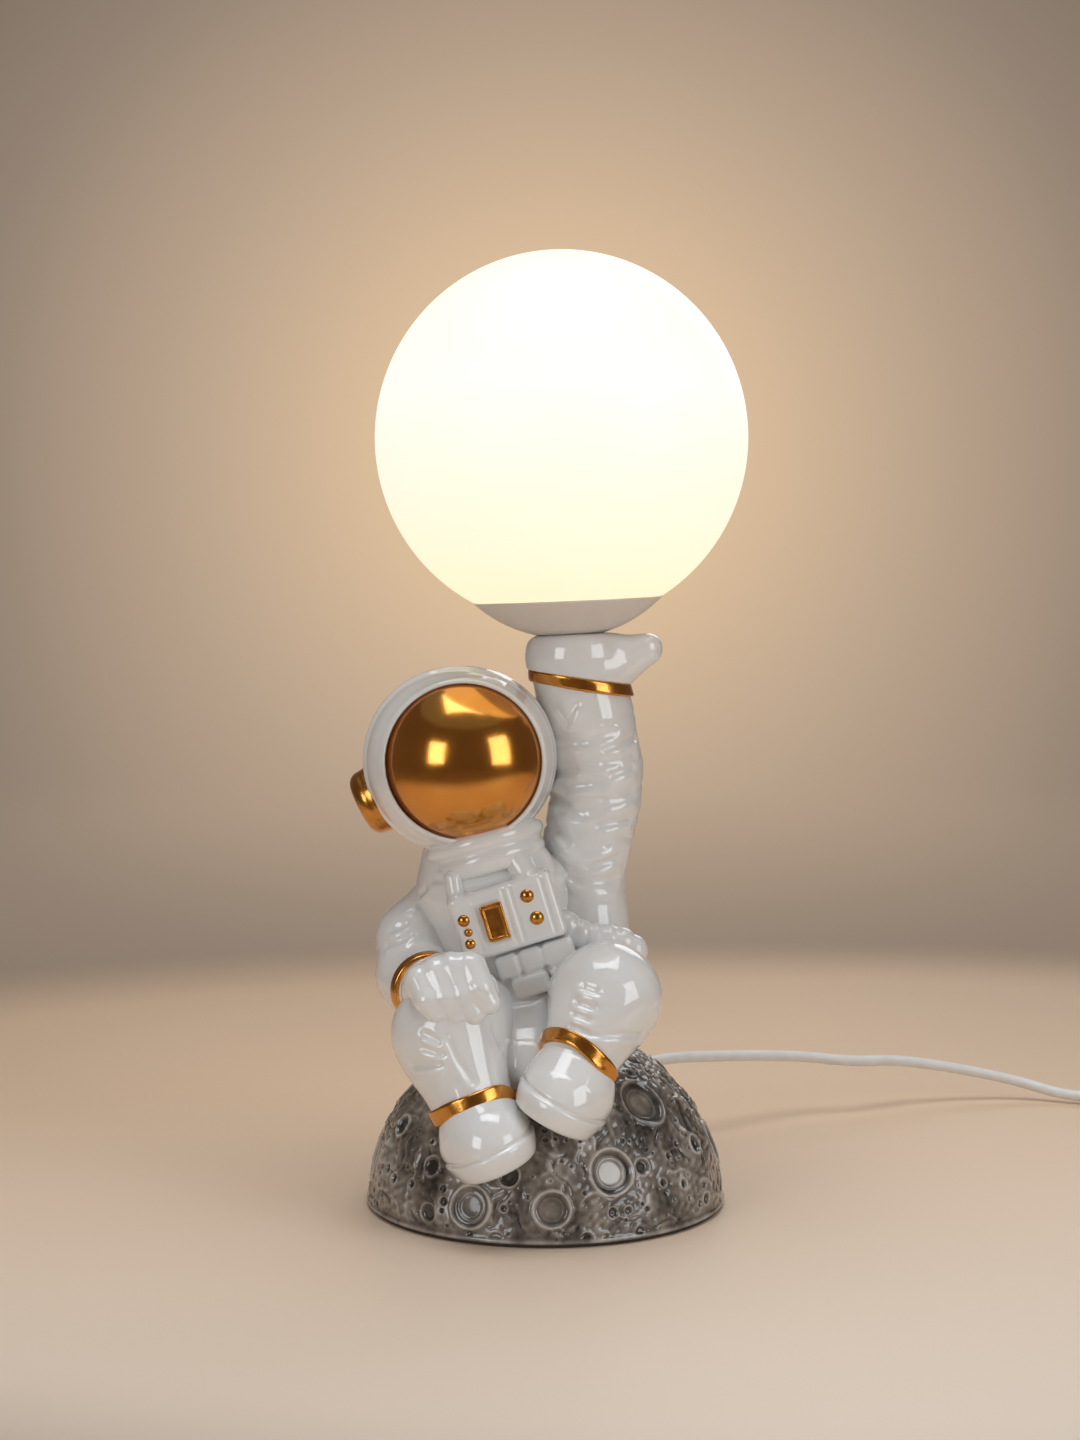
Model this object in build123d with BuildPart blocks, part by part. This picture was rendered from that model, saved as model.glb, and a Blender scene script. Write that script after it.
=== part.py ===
from build123d import *
import math
import os

# Astronaut moon lamp, in millimetres. The origin is the middle of the underside, +Z is up,
# the figure faces -Y and its raised left arm is on the +X side.

# Rock base
ROCK_RADIUS = 72.0
ROCK_DROP = 1.0  # the dome's centre lies this far below the table
ROCK_WALL = 6.0
PAD_THICKNESS = 1.5
PAD_INSET = 1.0
COVER_THICKNESS = 2.5
COVER_CLEARANCE = 0.3
BOSS_RADIUS = 4.5
BOSS_SKIN = 1.0  # rock left outside the top of a boss
COVER_SCREW_COUNT = 3
COVER_SCREW_RADIUS = 1.5
COVER_SCREW_HEAD_RADIUS = 2.9
COVER_SCREW_HEAD = 1.6
COVER_SCREW_LENGTH = 12.0
SCREW_CLEARANCE = 0.1

# Craters on the rock: azimuth from +X towards +Y and elevation in degrees, radius, depth
CRATERS = [
    (-68.0, 22.5, 9.2, 2.6),
    (-44.0, 43.0, 10.0, 2.8),
    (-88.0, 12.5, 7.0, 2.0),
    (-114.0, 12.0, 8.0, 2.0),
    (-102.0, 22.0, 4.2, 1.4),
    (-26.0, 25.0, 3.8, 1.4),
    (-156.0, 31.0, 4.4, 1.5),
    (-4.0, 21.0, 9.0, 2.4),
    (28.0, 34.0, 11.0, 2.8),
    (62.0, 8.0, 6.5, 2.0),
    (104.0, 30.0, 10.0, 2.6),
    (146.0, 18.0, 9.0, 2.4),
    (172.0, 40.0, 9.5, 2.4),
    (-172.0, 17.0, 7.0, 2.0),
]
CRATER_RIM_TOP = 0.6  # width of a crater's rim at its top and at its foot
CRATER_RIM_FOOT = 2.2
CRATER_RIM_HEIGHT = 3.0  # half of it stands over the rock's skin

# Figure: pieces are stuck together with a thin glue line
GLUE_GAP = 0.15
FLANK = 0.985  # the tapered length of a limb starts just inside the ball at its joint
TORSO_WALL = 6.0
# Torso rings over the seat: middle x, y, z, half width, half depth
TORSO_RINGS = [
    (-5.0, 4.0, -14.0, 29.0, 26.0),
    (-7.0, 4.0, 2.0, 31.5, 27.5),
    (-12.0, 3.0, 18.0, 33.0, 28.0),
    (-18.0, 2.0, 34.0, 33.0, 27.0),
    (-25.0, 1.0, 54.0, 28.0, 24.0),
    (-30.0, 0.0, 70.0, 20.0, 19.0),
]
# Limb joints over the seat: x, y, z, radius
LEFT_ARM_JOINTS = [
    (17.0, 8.0, 33.0, 18.0),
    (15.6, 9.0, 47.0, 16.2),
    (15.0, 9.5, 61.0, 15.6),
    (17.2, 10.0, 75.0, 16.8),
    (20.2, 10.5, 91.0, 17.4),
    (20.5, 10.5, 105.0, 17.9),
    (16.7, 10.0, 123.0, 18.3),
    (13.2, 9.0, 143.0, 18.8),
]
LEFT_HAND_JOINTS = [(13.1, 9.0, 139.0, 19.0), (12.5, 9.0, 148.0, 20.5)]
LEFT_THUMB_JOINTS = [(26.0, 6.0, 148.0, 10.0), (41.0, 4.0, 153.5, 6.2)]
RIGHT_ARM_JOINTS = [
    (-44.0, 0.0, 50.0, 11.5),
    (-53.0, -5.0, 37.0, 14.0),
    (-52.0, -14.0, 23.0, 14.5),
    (-46.0, -33.0, 21.0, 12.8),
]
RIGHT_HAND_JOINTS = [
    (-45.0, -37.0, 22.5, 12.3),
    (-37.0, -47.0, 25.5, 11.2),
    (-28.0, -49.0, 23.0, 9.8),
]
FINGER_KNUCKLES = [(-46.5, -50.0, 22.5), (-39.0, -53.5, 24.0), (-31.0, -54.5, 23.5), (-23.5, -52.0, 21.5)]
FINGER_REACH = (0.8, -8.5, -11.5)
FINGER_RADIUS = 4.9
LEFT_HIP = (12.0, -2.0, 13.0, 19.0)
LEFT_KNEE = (23.5, -40.0, 18.5, 19.3)
RIGHT_HIP = (-20.0, -5.0, 9.0, 19.5)
RIGHT_KNEE = (-37.5, -42.0, 5.0, 20.0)
# Boots: azimuth and elevation on the rock in degrees, height of the middle off the rock
LEFT_BOOT_PLACE = (-81.5, 45.2, 9.8)
RIGHT_BOOT_PLACE = (-111.0, 32.6, 4.2)
# Ankle and toe from the boot's middle: x, y, z, radius
LEFT_ANKLE = (3.5, 4.0, 9.0, 14.8)
LEFT_TOE = (-3.5, -6.5, -4.0, 15.5)
LEFT_SOLE_TILT = -28.0
RIGHT_ANKLE = (-3.0, 5.0, 6.0, 15.0)
RIGHT_TOE = (2.5, -6.5, -2.5, 15.5)
RIGHT_SOLE_TILT = 24.0
BOOT_RADIUS = 17.0
SOLE_DEPTH = 12.5  # from the boot's middle down to the flat of its sole
BAND_PROUD = 1.3
BAND_HEIGHT = 4.8
WRIST_HEIGHT = 140.5  # top of the raised sleeve over the seat
WRIST_TILT = 6.3
ANKLE_BAND_LIFT = 2.0  # up the shin from the ankle joint

# Helmet
HELMET_PLACE = (-35.5, -4.0, 108.6)
HELMET_RADIUS = 37.4
HELMET_WALL = 5.0
HELMET_ROLL = 13.0
VISOR_SHIFT = (3.4, 0.0, 0.7)  # visor's middle from the helmet's
VISOR_RADIUS = 30.5
VISOR_SEAT = 21.0  # the visor's edge, forward of the helmet's middle
VISOR_SAG = 20.0
VISOR_WALL = 2.0
VISOR_SKIRT = 5.0
RIM_WIDTH = 2.2  # bevelled rim round the visor
RIM_BEVEL = 3.0
RIM_DEPTH = 12.0
RIM_PROUD = 1.5
BRIM_FORWARD = 9.0  # raised brim round the whole helmet
BRIM_WIDTH = 5.0
BRIM_PROUD = 1.8
EAR_ANGLE = 27.0  # below level
EAR_BACK = 4.0
EAR_RADIUS = 13.5
EAR_HEIGHT = 9.5
EAR_DOME = 3.0
NECK_RING_PLACE = (-26.0, -4.0, 74.8)
NECK_RING_RADIUS = 23.5
NECK_RING_BEAD = 4.5
NECK_RING_ROUND = 0.8  # rounding of its edges over half its thickness
NECK_RING_TILT = 8.0

# Chest and back
CHEST_PLACE = (-19.7, -14.0, 47.1)  # behind the middle of the gold plate
CHEST_TURN = 17.0
CHEST_PACK_WIDTH = 40.0
CHEST_PACK_HEIGHT = 23.5
CHEST_PACK_MIDDLE = (4.0, 1.8)
CHEST_PACK_DEPTH = 17.5
CHEST_PACK_CORNER = 3.0
PLATE_WIDTH = 8.6
PLATE_HEIGHT = 14.3
PLATE_PROUD = 1.2
PLATE_CORNER = 1.2
PANEL_FRAME = 2.4  # raised frame round the gold plate
PANEL_FRAME_PROUD = 0.8
BUTTONS = [(-11.7, 3.8, 2.4), (-11.3, -1.1, 1.7), (-11.9, -5.7, 2.1), (14.8, 6.0, 2.7), (16.0, -3.4, 2.8)]
BUTTON_SHARE = 0.55  # height of a button over its radius
POUCH_MIDDLE = (7.3, -19.4)
POUCH_COLUMNS = 4
POUCH_ROWS = 2
POUCH_WIDTH = 7.4
POUCH_HEIGHT = 6.2
POUCH_GAP = 0.9
POUCH_PROUD = 3.6
POUCH_REACH = 40.0
PACK_PLACE = (-17.0, 31.0, 37.0)
PACK_WIDTH = 46.0
PACK_DEPTH = 28.0
PACK_HEIGHT = 56.0
PACK_LEAN = 17.0
PACK_CORNER = 7.0

# Lamp head, measured along its own axis from the palm
PALM_PLACE = (9.7, 9.0, 158.5)
HEAD_TILT = 2.4
PALM_THICKNESS = 10.0
TUBE_RADIUS = 4.9
TUBE_BORE = 3.6
TUBE_CLEARANCE = 0.3
TUBE_BELOW = 21.0
TUBE_ABOVE = 13.0
NUT_FLATS = 14.0
NUT_HEIGHT = 5.0
WASHER_RADIUS = 8.5
WASHER_THICKNESS = 1.0
NUT_POCKET = 10.5
CAP_FLAT = 14.0
CAP_DEPTH = 13.5
CAP_WALL = 1.2
SEAM_RADIUS = 38.0
SEAM_GAP = 0.3
GLOBE_RADIUS = 75.0
GLOBE_WALL = 2.5
NECK_RADIUS = 24.0
NECK_CLEARANCE = 0.4
NECK_LIFT = 1.0  # neck's end over the dish
COLLAR_WALL = 2.6
FLANGE_RADIUS = 33.0
FLANGE_THICKNESS = 1.2
GASKET_THICKNESS = 0.9
GASKET_INSET = 0.6
HOLDER_RADIUS = 10.0
HOLDER_HEIGHT = 23.8
HOLDER_FIT = 0.1
HOLDER_CAVITY = 6.5
HOLDER_CAVITY_DEPTH = 4.5
PIN_SPACING = 9.0
PIN_RADIUS = 1.0
PIN_LENGTH = 13.0
PIN_CLEARANCE = 0.6
CONTACT_WIDTH = 3.0
CONTACT_THICKNESS = 0.6
CONTACT_BITE = 0.2  # how far a contact stands into its pin's slot
CONTACT_TAIL = 2.0
CONTACT_TOP = 3.0  # below the holder's top
BULB_GAP = 0.3
BULB_RADIUS = 8.5
BULB_BASE_HEIGHT = 12.7
BULB_COVER_RADIUS = 8.0
BULB_COVER_HEIGHT = 38.0

# Wiring: where the lead leaves the rock, and the way of the wires up to the lamp head
GLAND_TURN = 25.0  # from +Y towards +X
GLAND_HEIGHT = 38.0
GLAND_STEM = 5.5
GLAND_NOSE = 20.0
GLAND_BASE_RADIUS = 8.0
GLAND_TIP_RADIUS = 3.9
GLAND_INSIDE = 8.0
GLAND_STRAIGHT = 43.0  # from the rock's skin to the lead's first bend
CORD_RADIUS = 2.5
CORD_FIT = 0.1
RUN_SHARE = 0.45
WIRE_RADIUS = 0.95
WIRE_SPACING = 2.2
WIRE_BORE = 4.5
WIRE_SLACK_RUN = 28.0  # straight from the lead's end before the wires turn up
WIRE_RUN_UP = 15.0  # straight below the tube
# Between those two, over the seat
WIRE_WAY = [
    (-3.0, 6.0, -9.0),
    (-6.0, 5.0, 17.0),
    (8.0, 8.0, 41.0),
    (17.5, 10.0, 69.0),
    (20.0, 10.0, 95.0),
]
# The lead's way from the gland to the in-line switch
LEAD_FREE_POINTS = [
    (84.0, 128.0, 32.4),
    (121.4, 155.0, 26.7),
    (145.2, 156.0, 23.6),
    (172.2, 175.0, 20.9),
    (222.8, 185.0, 10.4),
    (254.0, 172.0, 2.6),
]
LEAD_STRAIGHT = 18.0  # straight run into the switch

# In-line switch
SWITCH_START = (287.0, 165.0)
SWITCH_LENGTH = 54.0
SWITCH_WIDTH = 20.0
SWITCH_HEIGHT = 13.0
SWITCH_WALL = 1.8
SWITCH_CORNER = 4.0
SWITCH_GRIP = 3.0  # length of lead past the switch's end wall
ROCKER_LENGTH = 13.0
ROCKER_WIDTH = 8.4
ROCKER_RISE = 2.6
ROCKER_DISH = 0.8  # the rocker's middle lies this far below its ends
ROCKER_DROP = 1.6
ROCKER_TILT = 7.0
ROCKER_CLEARANCE = 0.9
ROCKER_PIVOT = 9.8
ROCKER_PIN_RADIUS = 1.0
ROCKER_PIN_FIT = 0.06
ROCKER_PIN_REACH = 2.2
ROCKER_EAR = 2.0
ROCKER_EAR_WIDTH = 5.0
ROCKER_EAR_DROP = 2.2
SWITCH_SCREW_SPACING = 36.0
SWITCH_SCREW_RADIUS = 1.1
SWITCH_SCREW_HEAD_RADIUS = 2.0
SWITCH_SCREW_HEAD = 1.2
SWITCH_SCREW_RECESS = 0.6
SWITCH_POST_RADIUS = 2.6
SWITCH_POST_OFFSET = 5.0
PLATE_LENGTH = 9.0
PLATE_BREADTH = 4.0
PLATE_RISE = 2.4
PLATE_SPACING = 13.0

# Coil of spare lead, its tie and the plug
COIL_RUN = 30.0  # from the switch to the first turn
COIL_OUTER = 44.0
COIL_GAP = 0.6
COIL_HALF_TURNS = 8
COIL_TOP_HALF_TURNS = 6
TIE_THICKNESS = 1.0
TIE_WIDTH = 6.0
TIE_CLEARANCE = 0.5
PLUG_RUN = 44.0  # from the last turn to the plug's tail
PLUG_TAIL = 18.0
PLUG_TAIL_RADIUS = 4.2
PLUG_NECK_RADIUS = 8.5
PLUG_GRIP = 5.0  # length of lead inside the plug
PLUG_BODY = 22.0
PLUG_WIDTH = 26.0
PLUG_CORNER = 5.0
PLUG_PIN_RADIUS = 2.0
PLUG_PIN_LENGTH = 19.0
PLUG_PIN_SPACING = 18.6
PLUG_PIN_SEAT = 6.0
PLUG_PIN_FIT = 0.05

os.makedirs("parts", exist_ok=True)

DOME_CENTRE = Vector(0, 0, -ROCK_DROP)
SEAT = DOME_CENTRE + Vector(0, 0, ROCK_RADIUS)
COVER_TOP = PAD_THICKNESS + COVER_THICKNESS


def save(piece, name):
    """Label a finished piece and write it."""
    piece.part.label = name
    export_step(piece.part, f"parts/{name}.step")


def over_seat(place):
    """A point of the figure, given from the top of the rock."""
    return SEAT + Vector(*place[:3])


def on_dome(azimuth, elevation, lift=0.0):
    """A point over the rock's skin."""
    reach = ROCK_RADIUS + lift
    level = reach * math.cos(math.radians(elevation))
    return DOME_CENTRE + Vector(
        level * math.cos(math.radians(azimuth)),
        level * math.sin(math.radians(azimuth)),
        reach * math.sin(math.radians(elevation)),
    )


def tilted(degrees):
    """An upward direction leaned towards +X."""
    return Vector(math.sin(math.radians(degrees)), 0, math.cos(math.radians(degrees)))


def seated(joints):
    """Joints of a limb as points and radii."""
    return [(over_seat(joint), joint[3]) for joint in joints]


def limb(joints, grow=0.0, mode=Mode.ADD):
    """A rounded limb: a ball at each joint and a tapered length between them."""
    for centre, radius in joints:
        with Locations(centre):
            Sphere(radius + grow, mode=mode)
    for (start, start_radius), (end, end_radius) in zip(joints, joints[1:]):
        with Locations(Plane(origin=start, z_dir=end - start)):
            Cone(
                (start_radius + grow) * FLANK,
                (end_radius + grow) * FLANK,
                (end - start).length,
                align=(Align.CENTER, Align.CENTER, Align.MIN),
                mode=mode,
            )


def torso_form(grow=0.0, mode=Mode.ADD):
    """The leaning trunk, lofted through level ellipses."""
    rings = []
    for x, y, z, half_width, half_depth in TORSO_RINGS:
        with BuildSketch(Plane(origin=over_seat((x, y, z)))) as ring:
            Ellipse(half_width + grow, half_depth + grow)
        rings.append(ring.sketch)
    loft(rings, mode=mode)


def bend_radii(points):
    """The largest arcs that the runs of a route allow, one for each corner."""
    radii = []
    for before, corner, after in zip(points, points[1:], points[2:]):
        run_in = corner - before
        run_out = after - corner
        turn = math.radians(run_in.get_angle(run_out))
        radii.append(RUN_SHARE * min(run_in.length, run_out.length) / math.tan(turn / 2))
    return radii


def dome_middle(radius, sag):
    """The point halfway along the arc from a dome's top to its edge."""
    sphere = (radius**2 + sag**2) / (2 * sag)
    angle = math.asin(radius / sphere) / 2
    return sphere * math.sin(angle), sag - sphere * (1 - math.cos(angle))


# Planes of the raised wrist, the lamp head, the helmet and the chest
PALM = over_seat(PALM_PLACE)
HEAD_UP = tilted(-HEAD_TILT)
HEAD = Plane(origin=PALM, x_dir=tilted(90 - HEAD_TILT), z_dir=HEAD_UP)
HEAD_AXIS = Axis(PALM, HEAD_UP)
HEAD_SECTION = Plane(origin=PALM, x_dir=HEAD.x_dir, z_dir=-HEAD.y_dir)
WRIST = Plane(
    origin=over_seat((LEFT_ARM_JOINTS[-1][0], LEFT_ARM_JOINTS[-1][1], WRIST_HEIGHT)),
    z_dir=tilted(WRIST_TILT),
)
HELMET_CENTRE = over_seat(HELMET_PLACE)
HELMET = Plane(origin=HELMET_CENTRE, x_dir=tilted(90 - HELMET_ROLL), z_dir=(0, -1, 0))
VISOR = Plane(origin=HELMET_CENTRE + Vector(*VISOR_SHIFT), x_dir=HELMET.x_dir, z_dir=HELMET.z_dir)
VISOR_SECTION = Plane(origin=VISOR.origin, x_dir=VISOR.x_dir, z_dir=-VISOR.y_dir)
VISOR_AXIS = Axis(VISOR.origin, VISOR.z_dir)
CHEST = Plane(origin=over_seat(CHEST_PLACE), x_dir=tilted(90 - CHEST_TURN), z_dir=(0, -1, 0))

# Joints of the limbs
LEFT_ARM = seated(LEFT_ARM_JOINTS)
RIGHT_ARM = seated(RIGHT_ARM_JOINTS)
LEFT_BOOT_MIDDLE = on_dome(*LEFT_BOOT_PLACE)
RIGHT_BOOT_MIDDLE = on_dome(*RIGHT_BOOT_PLACE)


def boot_joint(middle, joint):
    """A joint given from the middle of its boot."""
    return middle + Vector(*joint[:3]), joint[3]


LEFT_LEG = seated([LEFT_HIP, LEFT_KNEE]) + [boot_joint(LEFT_BOOT_MIDDLE, LEFT_ANKLE)]
RIGHT_LEG = seated([RIGHT_HIP, RIGHT_KNEE]) + [boot_joint(RIGHT_BOOT_MIDDLE, RIGHT_ANKLE)]
LEFT_FOOT = [(LEFT_BOOT_MIDDLE, BOOT_RADIUS), boot_joint(LEFT_BOOT_MIDDLE, LEFT_TOE)]
RIGHT_FOOT = [(RIGHT_BOOT_MIDDLE, BOOT_RADIUS), boot_joint(RIGHT_BOOT_MIDDLE, RIGHT_TOE)]

# The way of the lead through the gland and on to the switch
GLAND_OUT = Vector(math.sin(math.radians(GLAND_TURN)), math.cos(math.radians(GLAND_TURN)), 0)
GLAND_REACH = math.sqrt(ROCK_RADIUS**2 - (GLAND_HEIGHT + ROCK_DROP) ** 2)
GLAND_MOUTH = Vector(0, 0, GLAND_HEIGHT) + GLAND_OUT * GLAND_REACH
GLAND = Plane(origin=GLAND_MOUTH, x_dir=(0, 0, 1), z_dir=GLAND_OUT)
SWITCH_AXIS_HEIGHT = SWITCH_HEIGHT / 2
SWITCH_IN = Vector(*SWITCH_START, SWITCH_AXIS_HEIGHT)
SWITCH_OUT = SWITCH_IN + Vector(SWITCH_LENGTH, 0, 0)
LEAD_POINTS = [
    GLAND_MOUTH - GLAND_OUT * GLAND_INSIDE,
    GLAND_MOUTH + GLAND_OUT * GLAND_STRAIGHT,
    *[Vector(*point) for point in LEAD_FREE_POINTS],
    SWITCH_IN - Vector(LEAD_STRAIGHT - SWITCH_WALL - SWITCH_GRIP, 0, 0),
    SWITCH_IN + Vector(SWITCH_WALL + SWITCH_GRIP, 0, 0),
]

# The way of the two wires
WIRE_END = TUBE_ABOVE + HOLDER_FIT + HOLDER_CAVITY_DEPTH / 2
WIRE_POINTS = [
    LEAD_POINTS[0],
    LEAD_POINTS[0] - GLAND_OUT * WIRE_SLACK_RUN,
    *[over_seat(point) for point in WIRE_WAY],
    PALM - HEAD_UP * (TUBE_BELOW + WIRE_RUN_UP),
    PALM + HEAD_UP * WIRE_END,
]


def along_wires(radius, shift=0.0, mode=Mode.ADD):
    """A round bar along the way of the wires, set off to one side by shift."""
    with BuildLine() as way:
        FilletPolyline(*WIRE_POINTS, radius=bend_radii(WIRE_POINTS))
    start = Plane(origin=WIRE_POINTS[0], x_dir=(0, 0, 1), z_dir=-GLAND_OUT)
    with BuildSketch(start) as section:
        with Locations((0, shift)):
            Circle(radius)
    sweep(section.sketch, path=way.line, mode=mode)


# Rooms: each form with its glue line, to cut its neighbours
with BuildPart() as rock_room:
    with Locations(DOME_CENTRE):
        Sphere(ROCK_RADIUS + GLUE_GAP)

with BuildPart() as torso_room:
    torso_form(GLUE_GAP)

with BuildPart() as left_arm_room:
    limb(LEFT_ARM, GLUE_GAP)

with BuildPart() as right_arm_room:
    limb(RIGHT_ARM, GLUE_GAP)

with BuildPart() as left_leg_room:
    limb(LEFT_LEG, GLUE_GAP)

with BuildPart() as right_leg_room:
    limb(RIGHT_LEG, GLUE_GAP)


def helmet_form(grow=0.0, mode=Mode.ADD):
    """The helmet's ball."""
    with Locations(HELMET):
        Sphere(HELMET_RADIUS + grow, mode=mode)


def visor_rim(grow=0.0):
    """The bevelled rim round the visor."""
    with Locations(VISOR.offset(VISOR_SEAT - RIM_DEPTH)):
        Cone(
            VISOR_RADIUS + RIM_WIDTH + RIM_BEVEL + grow,
            VISOR_RADIUS + RIM_WIDTH + grow,
            RIM_DEPTH + RIM_PROUD + grow,
            align=(Align.CENTER, Align.CENTER, Align.MIN),
        )


BRIM = HELMET.offset(BRIM_FORWARD)
with BuildPart() as brim:
    helmet_form(BRIM_PROUD)
    with Locations(BRIM):
        Box(4 * HELMET_RADIUS, 4 * HELMET_RADIUS, BRIM_WIDTH, mode=Mode.INTERSECT)

with BuildPart() as brim_room:
    helmet_form(BRIM_PROUD + GLUE_GAP)
    with Locations(BRIM):
        Box(4 * HELMET_RADIUS, 4 * HELMET_RADIUS, BRIM_WIDTH + 2 * GLUE_GAP, mode=Mode.INTERSECT)

with BuildPart() as helmet_room:
    helmet_form(GLUE_GAP)
    add(brim_room.part)
    visor_rim(GLUE_GAP)

with BuildPart() as wire_room:
    along_wires(WIRE_BORE)

# Rock base
COVER_RADIUS = math.sqrt((ROCK_RADIUS - ROCK_WALL) ** 2 - (COVER_TOP + ROCK_DROP) ** 2) - COVER_CLEARANCE
BOSS_CIRCLE = COVER_RADIUS - BOSS_RADIUS
BOSS_TOP = math.sqrt((ROCK_RADIUS - BOSS_SKIN) ** 2 - (BOSS_CIRCLE + BOSS_RADIUS) ** 2) - ROCK_DROP
RISING = (Align.CENTER, Align.CENTER, Align.MIN)
HANGING = (Align.CENTER, Align.CENTER, Align.MAX)

with BuildPart() as rock_base:
    with Locations(DOME_CENTRE):
        Sphere(ROCK_RADIUS)
        Sphere(ROCK_RADIUS - ROCK_WALL, mode=Mode.SUBTRACT)
    with Locations((0, 0, COVER_TOP)):
        with PolarLocations(BOSS_CIRCLE, COVER_SCREW_COUNT):
            Cylinder(BOSS_RADIUS, BOSS_TOP - COVER_TOP, align=RISING)
            Cylinder(
                COVER_SCREW_RADIUS + SCREW_CLEARANCE,
                COVER_SCREW_LENGTH,
                align=RISING,
                mode=Mode.SUBTRACT,
            )
    for azimuth, elevation, radius, depth in CRATERS:
        rim = on_dome(azimuth, elevation, -(radius**2) / (2 * ROCK_RADIUS))
        bowl = (radius**2 + depth**2) / (2 * depth)
        with Locations(Plane(origin=rim, z_dir=rim - DOME_CENTRE)):
            Cone(radius + CRATER_RIM_FOOT, radius + CRATER_RIM_TOP, CRATER_RIM_HEIGHT)
        with Locations(on_dome(azimuth, elevation, bowl - depth)):
            Sphere(bowl, mode=Mode.SUBTRACT)
    split(bisect_by=Plane.XY.offset(PAD_THICKNESS), keep=Keep.TOP)
    add(wire_room.part, mode=Mode.SUBTRACT)
    with Locations(GLAND):
        Cylinder(GLAND_STEM + CORD_FIT, 4 * ROCK_WALL, mode=Mode.SUBTRACT)

with BuildPart() as bottom_cover:
    with Locations((0, 0, PAD_THICKNESS)):
        Cylinder(COVER_RADIUS, COVER_THICKNESS, align=RISING)
        with PolarLocations(BOSS_CIRCLE, COVER_SCREW_COUNT):
            Cylinder(
                COVER_SCREW_RADIUS + SCREW_CLEARANCE, COVER_THICKNESS, align=RISING, mode=Mode.SUBTRACT
            )
            Cone(
                COVER_SCREW_HEAD_RADIUS + SCREW_CLEARANCE,
                COVER_SCREW_RADIUS + SCREW_CLEARANCE,
                COVER_SCREW_HEAD,
                align=RISING,
                mode=Mode.SUBTRACT,
            )

with BuildPart() as bottom_pad:
    Cylinder(ROCK_RADIUS - PAD_INSET, PAD_THICKNESS, align=RISING)

with BuildPart() as cover_screws:
    with Locations((0, 0, PAD_THICKNESS)):
        with PolarLocations(BOSS_CIRCLE, COVER_SCREW_COUNT):
            Cone(COVER_SCREW_HEAD_RADIUS, COVER_SCREW_RADIUS, COVER_SCREW_HEAD, align=RISING)
            Cylinder(COVER_SCREW_RADIUS, COVER_SCREW_LENGTH, align=RISING)

with BuildPart() as cord_gland:
    with Locations(GLAND):
        Cone(GLAND_BASE_RADIUS, GLAND_TIP_RADIUS, GLAND_NOSE, align=RISING)
    with Locations(GLAND.offset(-GLAND_STEM)):
        Cylinder(GLAND_BASE_RADIUS, GLAND_STEM, align=RISING)
    add(rock_room.part, mode=Mode.SUBTRACT)
    with Locations(GLAND):
        Cylinder(GLAND_STEM, GLAND_INSIDE, align=HANGING)
        Cylinder(GLAND_STEM, GLAND_STEM, align=RISING)
        Cylinder(CORD_RADIUS + CORD_FIT, 4 * GLAND_NOSE, mode=Mode.SUBTRACT)

save(rock_base, "rock_base")
save(bottom_cover, "bottom_cover")
save(bottom_pad, "bottom_pad")
save(cover_screws, "cover_screws")
save(cord_gland, "cord_gland")

# Trunk, chest and back
with BuildPart() as torso:
    torso_form()
    torso_form(-TORSO_WALL, mode=Mode.SUBTRACT)
    add(rock_room.part, mode=Mode.SUBTRACT)
    add(helmet_room.part, mode=Mode.SUBTRACT)
    add(wire_room.part, mode=Mode.SUBTRACT)

with BuildPart() as chest_pack:
    with BuildSketch(CHEST):
        with Locations(CHEST_PACK_MIDDLE):
            RectangleRounded(CHEST_PACK_WIDTH, CHEST_PACK_HEIGHT, CHEST_PACK_CORNER)
    extrude(amount=CHEST_PACK_DEPTH)
    with BuildSketch(CHEST.offset(CHEST_PACK_DEPTH)):
        RectangleRounded(PLATE_WIDTH + 2 * PANEL_FRAME, PLATE_HEIGHT + 2 * PANEL_FRAME, PANEL_FRAME)
    extrude(amount=PANEL_FRAME_PROUD)
    add(torso_room.part, mode=Mode.SUBTRACT)
    add(left_arm_room.part, mode=Mode.SUBTRACT)

PLATE_SEAT = CHEST_PACK_DEPTH + PANEL_FRAME_PROUD
with BuildPart(CHEST) as chest_plate:
    with BuildSketch(CHEST.offset(PLATE_SEAT)):
        RectangleRounded(PLATE_WIDTH, PLATE_HEIGHT, PLATE_CORNER)
    extrude(amount=PLATE_PROUD)

with BuildPart(CHEST) as chest_buttons:
    for x, y, radius in BUTTONS:
        rise = radius * BUTTON_SHARE
        ball = (radius**2 + rise**2) / (2 * rise)
        with Locations((x, y, CHEST_PACK_DEPTH + rise - ball)):
            Sphere(ball)
    split(bisect_by=CHEST.offset(CHEST_PACK_DEPTH), keep=Keep.TOP)

with BuildPart() as pouch_skin:
    torso_form(POUCH_PROUD)

with BuildPart() as belt_pouches:
    with Locations(CHEST):
        with Locations(POUCH_MIDDLE):
            with GridLocations(POUCH_WIDTH + POUCH_GAP, POUCH_HEIGHT + POUCH_GAP, POUCH_COLUMNS, POUCH_ROWS):
                Box(POUCH_WIDTH, POUCH_HEIGHT, POUCH_REACH)
    add(pouch_skin.part, mode=Mode.INTERSECT)
    add(torso_room.part, mode=Mode.SUBTRACT)
    add(left_leg_room.part, mode=Mode.SUBTRACT)
    add(right_leg_room.part, mode=Mode.SUBTRACT)

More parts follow.
